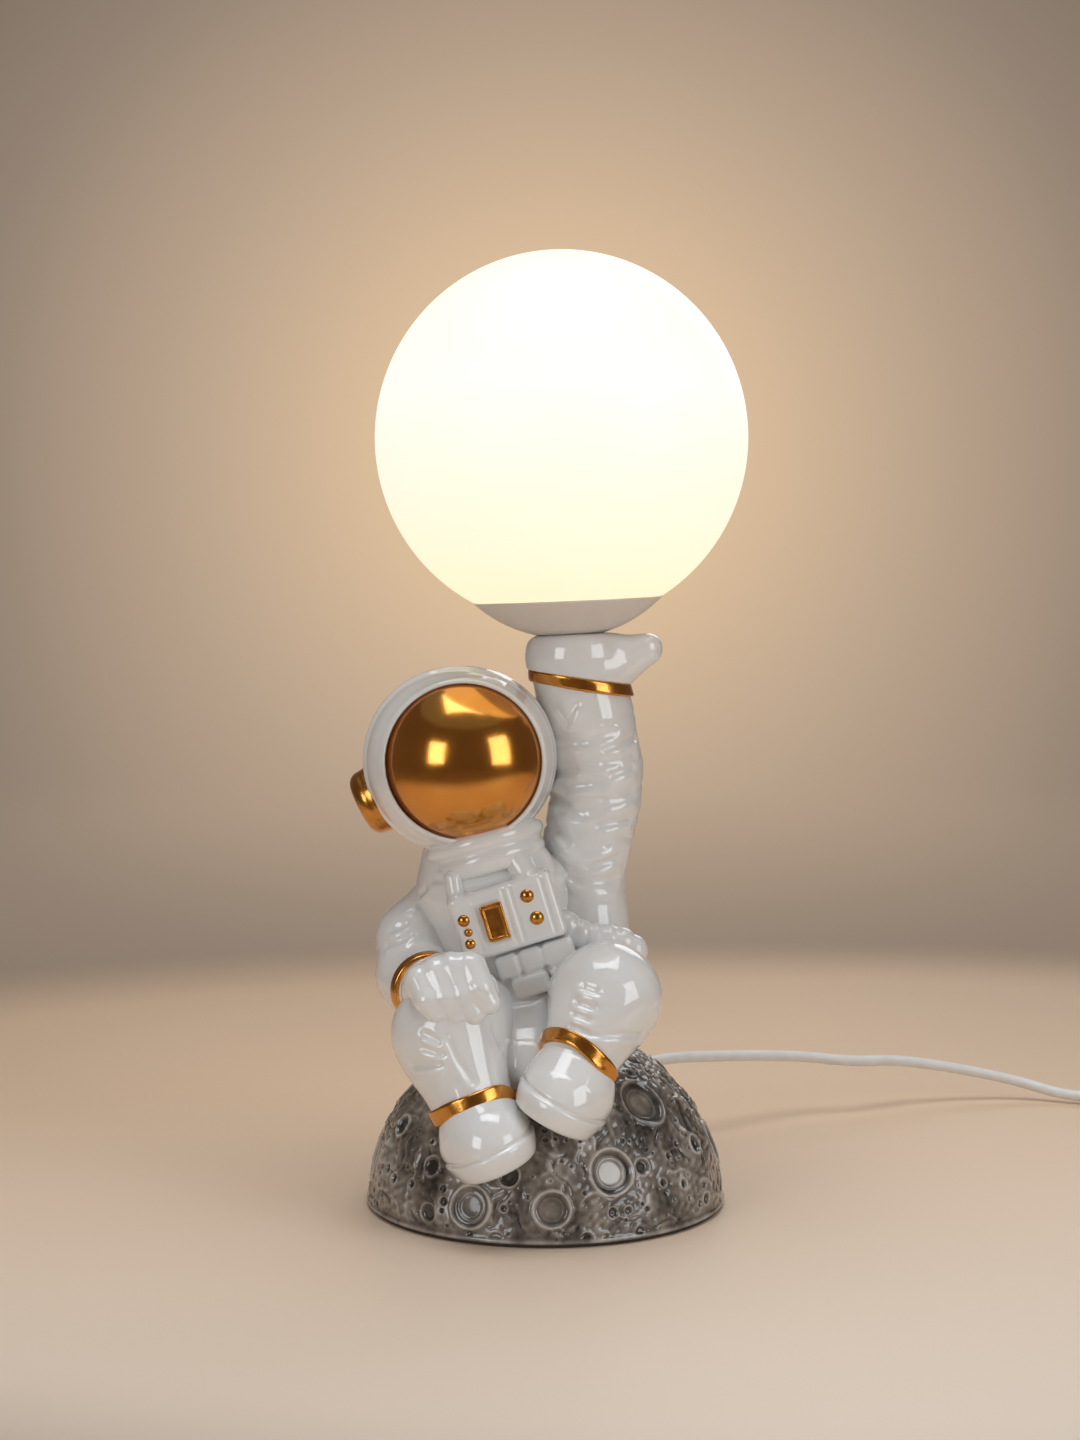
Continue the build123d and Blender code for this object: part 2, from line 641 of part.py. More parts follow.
PACK = Plane(origin=over_seat(PACK_PLACE), z_dir=tilted(-PACK_LEAN))
with BuildPart() as backpack:
    with Locations(PACK):
        Box(PACK_WIDTH, PACK_DEPTH, PACK_HEIGHT)
    fillet(backpack.edges(), PACK_CORNER)
    add(torso_room.part, mode=Mode.SUBTRACT)
    add(left_arm_room.part, mode=Mode.SUBTRACT)
    add(right_arm_room.part, mode=Mode.SUBTRACT)
    add(helmet_room.part, mode=Mode.SUBTRACT)

with BuildPart() as neck_ring:
    with Locations(Plane(origin=over_seat(NECK_RING_PLACE), z_dir=tilted(-NECK_RING_TILT))):
        Cylinder(NECK_RING_RADIUS + NECK_RING_BEAD, 2 * NECK_RING_BEAD)
        Cylinder(NECK_RING_RADIUS - NECK_RING_BEAD, 2 * NECK_RING_BEAD, mode=Mode.SUBTRACT)
    fillet(neck_ring.edges().filter_by(GeomType.CIRCLE), NECK_RING_BEAD * NECK_RING_ROUND)
    add(torso_room.part, mode=Mode.SUBTRACT)
    add(left_arm_room.part, mode=Mode.SUBTRACT)
    add(helmet_room.part, mode=Mode.SUBTRACT)

save(torso, "torso")
save(chest_pack, "chest_pack")
save(chest_plate, "chest_plate")
save(chest_buttons, "chest_buttons")
save(belt_pouches, "belt_pouches")
save(backpack, "backpack")
save(neck_ring, "neck_ring")

# Helmet, visor and ear cap
with BuildPart() as helmet:
    helmet_form()
    add(brim.part)
    visor_rim()
    helmet_form(-HELMET_WALL, mode=Mode.SUBTRACT)
    with Locations(VISOR):
        Cylinder(VISOR_RADIUS + GLUE_GAP, 2 * HELMET_RADIUS, align=RISING, mode=Mode.SUBTRACT)

with BuildPart() as visor:
    inner_radius = VISOR_RADIUS - VISOR_WALL
    inner_sag = VISOR_SAG - VISOR_WALL
    outer_middle = dome_middle(VISOR_RADIUS, VISOR_SAG)
    inner_middle = dome_middle(inner_radius, inner_sag)
    with BuildSketch(VISOR_SECTION):
        with BuildLine():
            Polyline(
                (0, VISOR_SEAT + inner_sag),
                (0, VISOR_SEAT + VISOR_SAG),
            )
            ThreePointArc(
                (0, VISOR_SEAT + VISOR_SAG),
                (outer_middle[0], VISOR_SEAT + outer_middle[1]),
                (VISOR_RADIUS, VISOR_SEAT),
            )
            Polyline(
                (VISOR_RADIUS, VISOR_SEAT),
                (VISOR_RADIUS, VISOR_SEAT - VISOR_SKIRT),
                (inner_radius, VISOR_SEAT - VISOR_SKIRT),
                (inner_radius, VISOR_SEAT),
            )
            ThreePointArc(
                (inner_radius, VISOR_SEAT),
                (inner_middle[0], VISOR_SEAT + inner_middle[1]),
                (0, VISOR_SEAT + inner_sag),
            )
        make_face()
    revolve(axis=VISOR_AXIS)

EAR_OUT = Vector(-math.cos(math.radians(EAR_ANGLE)), 0, -math.sin(math.radians(EAR_ANGLE)))
EAR = Plane(origin=HELMET_CENTRE + Vector(0, EAR_BACK, 0) + EAR_OUT * HELMET_RADIUS, z_dir=EAR_OUT)
with BuildPart() as ear_cap:
    with Locations(EAR.offset(-EAR_RADIUS / 2)):
        Cylinder(EAR_RADIUS, EAR_RADIUS / 2 + EAR_HEIGHT, align=RISING)
    fillet(ear_cap.faces().sort_by(Axis(EAR.origin, EAR_OUT))[-1].edges(), EAR_DOME)
    add(helmet_room.part, mode=Mode.SUBTRACT)

save(helmet, "helmet")
save(visor, "visor")
save(ear_cap, "ear_cap")

# Arms, bands and gloves
TUBE_HOLE = TUBE_RADIUS + TUBE_CLEARANCE
NUT_POCKET_DEPTH = TUBE_BELOW + TUBE_CLEARANCE - PALM_THICKNESS

with BuildPart() as nut_pocket:
    with Locations(HEAD.offset(-PALM_THICKNESS)):
        Cylinder(NUT_POCKET, NUT_POCKET_DEPTH, align=HANGING)

with BuildPart() as left_arm:
    limb(LEFT_ARM)
    split(bisect_by=WRIST, keep=Keep.BOTTOM)
    add(torso_room.part, mode=Mode.SUBTRACT)
    add(helmet_room.part, mode=Mode.SUBTRACT)
    add(rock_room.part, mode=Mode.SUBTRACT)
    add(wire_room.part, mode=Mode.SUBTRACT)
    add(nut_pocket.part, mode=Mode.SUBTRACT)

with BuildPart() as left_glove:
    limb(seated(LEFT_HAND_JOINTS))
    limb(seated(LEFT_THUMB_JOINTS))
    split(bisect_by=WRIST, keep=Keep.TOP)
    split(bisect_by=HEAD, keep=Keep.BOTTOM)
    add(nut_pocket.part, mode=Mode.SUBTRACT)
    with Locations(HEAD):
        Cylinder(TUBE_HOLE, 2 * PALM_THICKNESS, align=HANGING, mode=Mode.SUBTRACT)

with BuildPart() as right_arm:
    limb(RIGHT_ARM)
    add(torso_room.part, mode=Mode.SUBTRACT)
    add(helmet_room.part, mode=Mode.SUBTRACT)
    add(right_leg_room.part, mode=Mode.SUBTRACT)


def band(joint, direction, lift, room, height=BAND_HEIGHT):
    """A raised ring round a limb: centre and radius from the joint, lifted along the limb."""
    centre, radius = joint
    with Locations(Plane(origin=centre, z_dir=direction).offset(lift)):
        Cylinder(radius + BAND_PROUD, height)
    add(room.part, mode=Mode.SUBTRACT)


with BuildPart() as left_wrist_band:
    band((WRIST.origin, LEFT_ARM[-1][1]), WRIST.z_dir, -GLUE_GAP - BAND_HEIGHT / 2, left_arm_room)

RIGHT_FOREARM = RIGHT_ARM[-1][0] - RIGHT_ARM[-2][0]
with BuildPart() as right_wrist_band:
    band(RIGHT_ARM[-1], RIGHT_FOREARM, 0, right_arm_room)
    add(right_leg_room.part, mode=Mode.SUBTRACT)

with BuildPart() as right_wrist_band_room:
    band(RIGHT_ARM[-1], RIGHT_FOREARM, 0, right_arm_room, BAND_HEIGHT + 2 * GLUE_GAP)

FINGER_WAY = Vector(*FINGER_REACH)
with BuildPart() as finger:
    Cylinder(FINGER_RADIUS, FINGER_WAY.length + FINGER_RADIUS, align=RISING)
    fillet(finger.edges().filter_by(GeomType.CIRCLE), FINGER_RADIUS * FLANK)

with BuildPart() as right_glove:
    limb(seated(RIGHT_HAND_JOINTS))
    for knuckle in FINGER_KNUCKLES:
        with Locations(Plane(origin=over_seat(knuckle), z_dir=FINGER_WAY)):
            add(finger.part)
    add(right_leg_room.part, mode=Mode.SUBTRACT)
    add(right_arm_room.part, mode=Mode.SUBTRACT)
    add(right_wrist_band_room.part, mode=Mode.SUBTRACT)

save(left_arm, "left_arm")
save(left_glove, "left_glove")
save(left_wrist_band, "left_wrist_band")
save(right_arm, "right_arm")
save(right_wrist_band, "right_wrist_band")
save(right_glove, "right_glove")

# Legs, bands and boots
with BuildPart() as left_leg:
    limb(LEFT_LEG)
    add(torso_room.part, mode=Mode.SUBTRACT)
    add(left_arm_room.part, mode=Mode.SUBTRACT)
    add(rock_room.part, mode=Mode.SUBTRACT)

with BuildPart() as right_leg:
    limb(RIGHT_LEG)
    add(torso_room.part, mode=Mode.SUBTRACT)
    add(rock_room.part, mode=Mode.SUBTRACT)


def boot(foot, sole_tilt, leg_room):
    """A rounded boot with a flat sole, set on the rock and round the end of its leg."""
    limb(foot)
    sole_down = -tilted(-sole_tilt)
    split(bisect_by=Plane(origin=foot[0][0] + sole_down * SOLE_DEPTH, z_dir=sole_down), keep=Keep.BOTTOM)
    add(leg_room.part, mode=Mode.SUBTRACT)
    add(rock_room.part, mode=Mode.SUBTRACT)


with BuildPart() as left_boot:
    boot(LEFT_FOOT, LEFT_SOLE_TILT, left_leg_room)

with BuildPart() as right_boot:
    boot(RIGHT_FOOT, RIGHT_SOLE_TILT, right_leg_room)

with BuildPart() as left_foot_room:
    limb(LEFT_FOOT, GLUE_GAP)

with BuildPart() as right_foot_room:
    limb(RIGHT_FOOT, GLUE_GAP)

with BuildPart() as left_ankle_band:
    band(LEFT_LEG[-1], LEFT_LEG[-2][0] - LEFT_LEG[-1][0], ANKLE_BAND_LIFT, left_leg_room)
    add(left_foot_room.part, mode=Mode.SUBTRACT)
    add(rock_room.part, mode=Mode.SUBTRACT)

with BuildPart() as right_ankle_band:
    band(RIGHT_LEG[-1], RIGHT_LEG[-2][0] - RIGHT_LEG[-1][0], ANKLE_BAND_LIFT, right_leg_room)
    add(right_foot_room.part, mode=Mode.SUBTRACT)
    add(rock_room.part, mode=Mode.SUBTRACT)

save(left_leg, "left_leg")
save(right_leg, "right_leg")
save(left_boot, "left_boot")
save(right_boot, "right_boot")
save(left_ankle_band, "left_ankle_band")
save(right_ankle_band, "right_ankle_band")

# Lamp head: the cap is a dish turned about the head's axis
DISH_CENTRE = (SEAM_RADIUS**2 + CAP_DEPTH**2 - CAP_FLAT**2) / (2 * CAP_DEPTH)
DISH_RADIUS = math.hypot(CAP_FLAT, DISH_CENTRE)


def dish_height(radius, inset=0.0):
    """Height of the dish over the palm at a distance from the axis."""
    return DISH_CENTRE - math.sqrt((DISH_RADIUS - inset) ** 2 - radius**2)


def dish_width(height, inset=0.0):
    """Distance of the dish from the axis at a height over the palm."""
    return math.sqrt((DISH_RADIUS - inset) ** 2 - (DISH_CENTRE - height) ** 2)


with BuildPart() as shade_cap:
    rim_inside = dish_width(CAP_DEPTH, CAP_WALL)
    floor_inside = dish_width(CAP_WALL, CAP_WALL)
    outer_middle = (CAP_FLAT + SEAM_RADIUS) / 2
    inner_middle = (floor_inside + rim_inside) / 2
    with BuildSketch(HEAD_SECTION):
        with BuildLine():
            Polyline((floor_inside, CAP_WALL), (TUBE_HOLE, CAP_WALL), (TUBE_HOLE, 0), (CAP_FLAT, 0))
            ThreePointArc(
                (CAP_FLAT, 0), (outer_middle, dish_height(outer_middle)), (SEAM_RADIUS, CAP_DEPTH)
            )
            Line((SEAM_RADIUS, CAP_DEPTH), (rim_inside, CAP_DEPTH))
            ThreePointArc(
                (rim_inside, CAP_DEPTH),
                (inner_middle, dish_height(inner_middle, CAP_WALL)),
                (floor_inside, CAP_WALL),
            )
        make_face()
    revolve(axis=HEAD_AXIS)

NUT_SEAT = CAP_WALL + WASHER_THICKNESS
HOLDER_BOTTOM = NUT_SEAT + NUT_HEIGHT
HOLDER_TOP = HOLDER_BOTTOM + HOLDER_HEIGHT

with BuildPart(HEAD) as threaded_tube:
    with Locations((0, 0, -TUBE_BELOW)):
        Cylinder(TUBE_RADIUS, TUBE_BELOW + TUBE_ABOVE, align=RISING)
        Cylinder(TUBE_BORE, TUBE_BELOW + TUBE_ABOVE, align=RISING, mode=Mode.SUBTRACT)

WASHER_SEATS = [CAP_WALL, -PALM_THICKNESS - WASHER_THICKNESS]
with BuildPart(HEAD) as tube_washers:
    with Locations([(0, 0, height) for height in WASHER_SEATS]):
        Cylinder(WASHER_RADIUS, WASHER_THICKNESS, align=RISING)
        Cylinder(TUBE_HOLE, WASHER_THICKNESS, align=RISING, mode=Mode.SUBTRACT)

NUT_SEATS = [NUT_SEAT, -PALM_THICKNESS - WASHER_THICKNESS - NUT_HEIGHT]
with BuildPart(HEAD) as tube_nuts:
    for height in NUT_SEATS:
        with BuildSketch(HEAD.offset(height)):
            RegularPolygon(NUT_FLATS / 2, 6, major_radius=False)
            Circle(TUBE_RADIUS + HOLDER_FIT, mode=Mode.SUBTRACT)
        extrude(amount=NUT_HEIGHT)

FLANGE_TOP = CAP_DEPTH - GASKET_THICKNESS
COLLAR_BORE = NECK_RADIUS + NECK_CLEARANCE
COLLAR_RADIUS = COLLAR_BORE + COLLAR_WALL
with BuildPart() as globe_collar:
    collar_bottom = dish_height(COLLAR_RADIUS, CAP_WALL)
    with BuildSketch(HEAD_SECTION):
        with BuildLine():
            Polyline(
                (COLLAR_BORE, collar_bottom),
                (COLLAR_RADIUS, collar_bottom),
                (COLLAR_RADIUS, FLANGE_TOP - FLANGE_THICKNESS),
                (FLANGE_RADIUS, FLANGE_TOP - FLANGE_THICKNESS),
                (FLANGE_RADIUS, FLANGE_TOP),
                (COLLAR_BORE, FLANGE_TOP),
                close=True,
            )
        make_face()
    revolve(axis=HEAD_AXIS)

with BuildPart(HEAD) as globe_gasket:
    with BuildSketch(HEAD.offset(FLANGE_TOP)):
        Circle(FLANGE_RADIUS)
        Circle(COLLAR_BORE + GASKET_INSET, mode=Mode.SUBTRACT)
    extrude(amount=GASKET_THICKNESS)

SHOULDER = CAP_DEPTH + SEAM_GAP
GLOBE_CENTRE = SHOULDER + math.sqrt(GLOBE_RADIUS**2 - SEAM_RADIUS**2)
with BuildPart() as globe_shade:
    inside = GLOBE_RADIUS - GLOBE_WALL
    shoulder_inside = math.sqrt(inside**2 - (GLOBE_CENTRE - SHOULDER - GLOBE_WALL) ** 2)
    neck_bottom = dish_height(NECK_RADIUS, CAP_WALL) + NECK_LIFT
    neck_bore = NECK_RADIUS - GLOBE_WALL
    with BuildSketch(HEAD_SECTION):
        with BuildLine():
            Polyline(
                (neck_bore, SHOULDER + GLOBE_WALL),
                (neck_bore, neck_bottom),
                (NECK_RADIUS, neck_bottom),
                (NECK_RADIUS, SHOULDER),
                (SEAM_RADIUS, SHOULDER),
            )
            ThreePointArc(
                (SEAM_RADIUS, SHOULDER), (GLOBE_RADIUS, GLOBE_CENTRE), (0, GLOBE_CENTRE + GLOBE_RADIUS)
            )
            Line((0, GLOBE_CENTRE + GLOBE_RADIUS), (0, GLOBE_CENTRE + inside))
            ThreePointArc(
                (0, GLOBE_CENTRE + inside), (inside, GLOBE_CENTRE), (shoulder_inside, SHOULDER + GLOBE_WALL)
            )
            Line((shoulder_inside, SHOULDER + GLOBE_WALL), (neck_bore, SHOULDER + GLOBE_WALL))
        make_face()
    revolve(axis=HEAD_AXIS)

# Holder and bulb
PIN_PLACES = [(-PIN_SPACING / 2, 0), (PIN_SPACING / 2, 0)]
PIN_BOTTOM = HOLDER_TOP + BULB_GAP - PIN_LENGTH
CAVITY_TOP = TUBE_ABOVE + HOLDER_FIT + HOLDER_CAVITY_DEPTH
SLOT_RADIUS = PIN_RADIUS + PIN_CLEARANCE
CONTACT_OUT = PIN_SPACING / 2 + SLOT_RADIUS - CONTACT_BITE + CONTACT_THICKNESS / 2
CONTACT_BOTTOM = CAVITY_TOP - CONTACT_TAIL
CONTACT_LENGTH = HOLDER_TOP - CONTACT_TOP - CONTACT_BOTTOM
CONTACT_PLACES = [(-CONTACT_OUT, 0, CONTACT_BOTTOM), (CONTACT_OUT, 0, CONTACT_BOTTOM)]

with BuildPart(HEAD) as lamp_holder:
    with Locations((0, 0, HOLDER_BOTTOM)):
        Cylinder(HOLDER_RADIUS, HOLDER_HEIGHT, align=RISING)
        Cylinder(
            TUBE_RADIUS + HOLDER_FIT,
            TUBE_ABOVE + HOLDER_FIT - HOLDER_BOTTOM,
            align=RISING,
            mode=Mode.SUBTRACT,
        )
    with Locations((0, 0, TUBE_ABOVE + HOLDER_FIT)):
        Cylinder(HOLDER_CAVITY, HOLDER_CAVITY_DEPTH, align=RISING, mode=Mode.SUBTRACT)
    with Locations((0, 0, HOLDER_TOP)):
        with Locations(PIN_PLACES):
            Cylinder(SLOT_RADIUS, HOLDER_TOP - CAVITY_TOP, align=HANGING, mode=Mode.SUBTRACT)
    with Locations(CONTACT_PLACES):
        Box(CONTACT_THICKNESS, CONTACT_WIDTH, CONTACT_LENGTH, align=RISING, mode=Mode.SUBTRACT)

with BuildPart(HEAD) as holder_contacts:
    with Locations(CONTACT_PLACES):
        Box(CONTACT_THICKNESS, CONTACT_WIDTH, CONTACT_LENGTH, align=RISING)

BULB_BOTTOM = HOLDER_TOP + BULB_GAP
BULB_SHOULDER = BULB_BOTTOM + BULB_BASE_HEIGHT
with BuildPart(HEAD) as bulb_base:
    with Locations((0, 0, BULB_BOTTOM)):
        Cylinder(BULB_RADIUS, BULB_BASE_HEIGHT, align=RISING)

with BuildPart(HEAD) as bulb_pins:
    with Locations((0, 0, BULB_BOTTOM)):
        with Locations(PIN_PLACES):
            Cylinder(PIN_RADIUS, PIN_LENGTH, align=HANGING)

with BuildPart(HEAD) as bulb_cover:
    with Locations((0, 0, BULB_SHOULDER)):
        Cylinder(BULB_COVER_RADIUS, BULB_COVER_HEIGHT, align=RISING)
    bulb_top = bulb_cover.faces().sort_by(HEAD_AXIS)[-1]
    fillet(bulb_top.edges(), BULB_COVER_RADIUS / 2)

save(shade_cap, "shade_cap")
save(threaded_tube, "threaded_tube")
save(tube_washers, "tube_washers")
save(tube_nuts, "tube_nuts")
save(globe_collar, "globe_collar")
save(globe_gasket, "globe_gasket")
save(globe_shade, "globe_shade")
save(lamp_holder, "lamp_holder")
save(holder_contacts, "holder_contacts")
save(bulb_base, "bulb_base")
save(bulb_pins, "bulb_pins")
save(bulb_cover, "bulb_cover")

# Wires and lead
with BuildPart() as wire_live:
    along_wires(WIRE_RADIUS, WIRE_SPACING / 2)

with BuildPart() as wire_neutral:
    along_wires(WIRE_RADIUS, -WIRE_SPACING / 2)

LEAD_RADII = bend_radii(LEAD_POINTS)
with BuildPart() as cord_lead:
    with BuildLine() as lead_way:
        FilletPolyline(*LEAD_POINTS, radius=LEAD_RADII)
    with BuildSketch(Plane(origin=LEAD_POINTS[0], z_dir=GLAND_OUT)):
        Circle(CORD_RADIUS)
    sweep()

LEAD_LENGTH = lead_way.wire().length
print("lead: bend radii", [round(radius, 1) for radius in LEAD_RADII])
print("lead: length", round(LEAD_LENGTH, 1))
print("lead: volume over section times length", cord_lead.part.volume / (math.pi * CORD_RADIUS**2 * LEAD_LENGTH))

save(wire_live, "wire_live")
save(wire_neutral, "wire_neutral")
save(cord_lead, "cord_lead")

# In-line switch, in two shells that part at the lead's axis
SWITCH = Plane(origin=(SWITCH_IN.X + SWITCH_LENGTH / 2, SWITCH_IN.Y, 0))
SWITCH_POSTS = [
    (SWITCH_SCREW_SPACING / 2, SWITCH_POST_OFFSET),
    (-SWITCH_SCREW_SPACING / 2, -SWITCH_POST_OFFSET),
]
SWITCH_INSIDE = (SWITCH_LENGTH - 2 * SWITCH_WALL, SWITCH_WIDTH - 2 * SWITCH_WALL, SWITCH_CORNER - SWITCH_WALL)
SWITCH_CEILING = SWITCH_HEIGHT - SWITCH_WALL
SWITCH_HEAD_SEAT = SWITCH_SCREW_RECESS + SWITCH_SCREW_HEAD
SWITCH_SCREW_TOP = (SWITCH_AXIS_HEIGHT + SWITCH_CEILING) / 2
WINDOW_LENGTH = ROCKER_LENGTH + 2 * ROCKER_CLEARANCE
WINDOW_WIDTH = ROCKER_WIDTH + 2 * ROCKER_CLEARANCE


def lead_holes():
    """The holes in the switch's end walls, for the lead on both sides."""
    with Locations((0, 0, SWITCH_AXIS_HEIGHT)):
        Cylinder(CORD_RADIUS + CORD_FIT, 2 * SWITCH_LENGTH, rotation=(0, 90, 0), mode=Mode.SUBTRACT)


with BuildPart(SWITCH) as switch_base:
    with BuildSketch(SWITCH):
        RectangleRounded(SWITCH_LENGTH, SWITCH_WIDTH, SWITCH_CORNER)
    extrude(amount=SWITCH_AXIS_HEIGHT)
    with BuildSketch(SWITCH.offset(SWITCH_WALL)):
        RectangleRounded(*SWITCH_INSIDE)
    extrude(amount=SWITCH_AXIS_HEIGHT - SWITCH_WALL, mode=Mode.SUBTRACT)
    lead_holes()
    with Locations(SWITCH_POSTS):
        Cylinder(SWITCH_POST_RADIUS, SWITCH_AXIS_HEIGHT, align=RISING)
        Cylinder(
            SWITCH_SCREW_RADIUS + SCREW_CLEARANCE, SWITCH_AXIS_HEIGHT, align=RISING, mode=Mode.SUBTRACT
        )
        Cylinder(
            SWITCH_SCREW_HEAD_RADIUS + SCREW_CLEARANCE, SWITCH_HEAD_SEAT, align=RISING, mode=Mode.SUBTRACT
        )

with BuildPart(SWITCH) as switch_cover:
    with BuildSketch(SWITCH.offset(SWITCH_AXIS_HEIGHT)):
        RectangleRounded(SWITCH_LENGTH, SWITCH_WIDTH, SWITCH_CORNER)
    extrude(amount=SWITCH_HEIGHT - SWITCH_AXIS_HEIGHT)
    fillet(switch_cover.faces().sort_by(Axis.Z)[-1].edges(), SWITCH_WALL / 2)
    with BuildSketch(SWITCH.offset(SWITCH_AXIS_HEIGHT)):
        RectangleRounded(*SWITCH_INSIDE)
    extrude(amount=SWITCH_CEILING - SWITCH_AXIS_HEIGHT, mode=Mode.SUBTRACT)
    lead_holes()
    with Locations((0, 0, SWITCH_CEILING)):
        Box(WINDOW_LENGTH, WINDOW_WIDTH, SWITCH_WALL, align=RISING, mode=Mode.SUBTRACT)
        with GridLocations(0, WINDOW_WIDTH + ROCKER_EAR, 1, 2):
            Box(
                ROCKER_EAR_WIDTH,
                ROCKER_EAR,
                SWITCH_CEILING - ROCKER_PIVOT + ROCKER_EAR_DROP,
                align=HANGING,
            )
    with Locations((0, 0, ROCKER_PIVOT)):
        Cylinder(
            ROCKER_PIN_RADIUS + ROCKER_PIN_FIT,
            WINDOW_WIDTH + 2 * ROCKER_EAR,
            rotation=(90, 0, 0),
            mode=Mode.SUBTRACT,
        )
    with Locations((0, 0, SWITCH_AXIS_HEIGHT)):
        with Locations(SWITCH_POSTS):
            Cylinder(SWITCH_POST_RADIUS, SWITCH_CEILING - SWITCH_AXIS_HEIGHT, align=RISING)
            Cylinder(
                SWITCH_SCREW_RADIUS + SCREW_CLEARANCE,
                SWITCH_SCREW_TOP - SWITCH_AXIS_HEIGHT + SCREW_CLEARANCE,
                align=RISING,
                mode=Mode.SUBTRACT,
            )

ROCKER = Plane(
    origin=SWITCH.origin + Vector(0, 0, ROCKER_PIVOT), x_dir=tilted(90 + ROCKER_TILT), z_dir=(0, -1, 0)
)
with BuildPart() as switch_rocker:
    with BuildSketch(ROCKER):
        with BuildLine():
            Polyline(
                (-ROCKER_LENGTH / 2, -ROCKER_DROP),
                (ROCKER_LENGTH / 2, -ROCKER_DROP),
                (ROCKER_LENGTH / 2, ROCKER_RISE + ROCKER_DISH),
                (0, ROCKER_RISE),
                (-ROCKER_LENGTH / 2, ROCKER_RISE + ROCKER_DISH),
                close=True,
            )
        make_face()
    extrude(amount=ROCKER_WIDTH / 2, both=True)
    with Locations(ROCKER):
        Cylinder(ROCKER_PIN_RADIUS, ROCKER_WIDTH + 2 * ROCKER_PIN_REACH)

with BuildPart(SWITCH) as switch_contacts:
    with Locations((0, 0, SWITCH_WALL)):
        with GridLocations(PLATE_SPACING, 0, 2, 1):
            Box(PLATE_LENGTH, PLATE_BREADTH, PLATE_RISE, align=RISING)

with BuildPart(SWITCH) as switch_screws:
    with Locations((0, 0, SWITCH_SCREW_RECESS)):
        with Locations(SWITCH_POSTS):
            Cylinder(SWITCH_SCREW_HEAD_RADIUS, SWITCH_SCREW_HEAD, align=RISING)
            Cylinder(SWITCH_SCREW_RADIUS, SWITCH_SCREW_TOP - SWITCH_SCREW_RECESS, align=RISING)

save(switch_base, "switch_base")
save(switch_cover, "switch_cover")
save(switch_rocker, "switch_rocker")
save(switch_contacts, "switch_contacts")
save(switch_screws, "switch_screws")

# Spare lead: half turns inward on the floor layer, one that climbs, then outward on the second layer
COIL_PITCH = 2 * CORD_RADIUS + COIL_GAP
COIL_LOW = TIE_THICKNESS + TIE_CLEARANCE + CORD_RADIUS
COIL_HIGH = COIL_LOW + COIL_PITCH
COIL_MIDDLE = Vector(SWITCH_OUT.X + COIL_RUN, SWITCH_OUT.Y - COIL_OUTER, 0)
COIL_INNER = COIL_OUTER - COIL_HALF_TURNS * COIL_PITCH / 2
LOW_REACHES = [COIL_OUTER - turn * COIL_PITCH / 2 for turn in range(1, COIL_HALF_TURNS + 1)]
HIGH_REACHES = [COIL_INNER + (turn + 1) * COIL_PITCH / 2 for turn in range(COIL_TOP_HALF_TURNS)]
COIL_STOPS = [
    (COIL_OUTER, SWITCH_AXIS_HEIGHT),
    *[(reach, COIL_LOW) for reach in LOW_REACHES],
    (COIL_INNER - COIL_PITCH / 2, COIL_HIGH),
    *[(reach, COIL_HIGH) for reach in HIGH_REACHES],
]
COIL_ENDS = [
    COIL_MIDDLE + Vector(0, reach if stop % 2 == 0 else -reach, height)
    for stop, (reach, height) in enumerate(COIL_STOPS)
]
PLUG_START = COIL_ENDS[-1] - Vector(PLUG_RUN, 0, 0)

with BuildPart() as cord_coil:
    coil_start = SWITCH_OUT - Vector(SWITCH_WALL + SWITCH_GRIP, 0, 0)
    with BuildLine() as coil_way:
        Line(coil_start, COIL_ENDS[0])
        for stop, (start, end) in enumerate(zip(COIL_ENDS, COIL_ENDS[1:])):
            swing = (end - start).length / 2
            middle = (start + end) / 2 + Vector(swing if stop % 2 == 0 else -swing, 0, 0)
            ThreePointArc(start, middle, end)
        Line(COIL_ENDS[-1], PLUG_START - Vector(PLUG_GRIP, 0, 0))
    with BuildSketch(Plane(origin=coil_start, z_dir=(1, 0, 0))):
        Circle(CORD_RADIUS)
    sweep()

COIL_LENGTH = coil_way.wire().length
COIL_SAMPLES = 700
COIL_NEIGHBOURS = math.ceil(math.pi * COIL_INNER * COIL_SAMPLES / COIL_LENGTH)
coil_points = [coil_way.wire() @ (step / COIL_SAMPLES) for step in range(COIL_SAMPLES + 1)]
coil_gap = min(
    (point - other).length
    for step, point in enumerate(coil_points)
    for other in coil_points[step + COIL_NEIGHBOURS :]
)
print("coil: length", round(COIL_LENGTH, 1))
print("coil: least gap to itself", round(coil_gap - 2 * CORD_RADIUS, 2))
print("coil: volume over section times length", cord_coil.part.volume / (math.pi * CORD_RADIUS**2 * COIL_LENGTH))
print("whole lead", round(LEAD_LENGTH + COIL_LENGTH + SWITCH_LENGTH, 1))

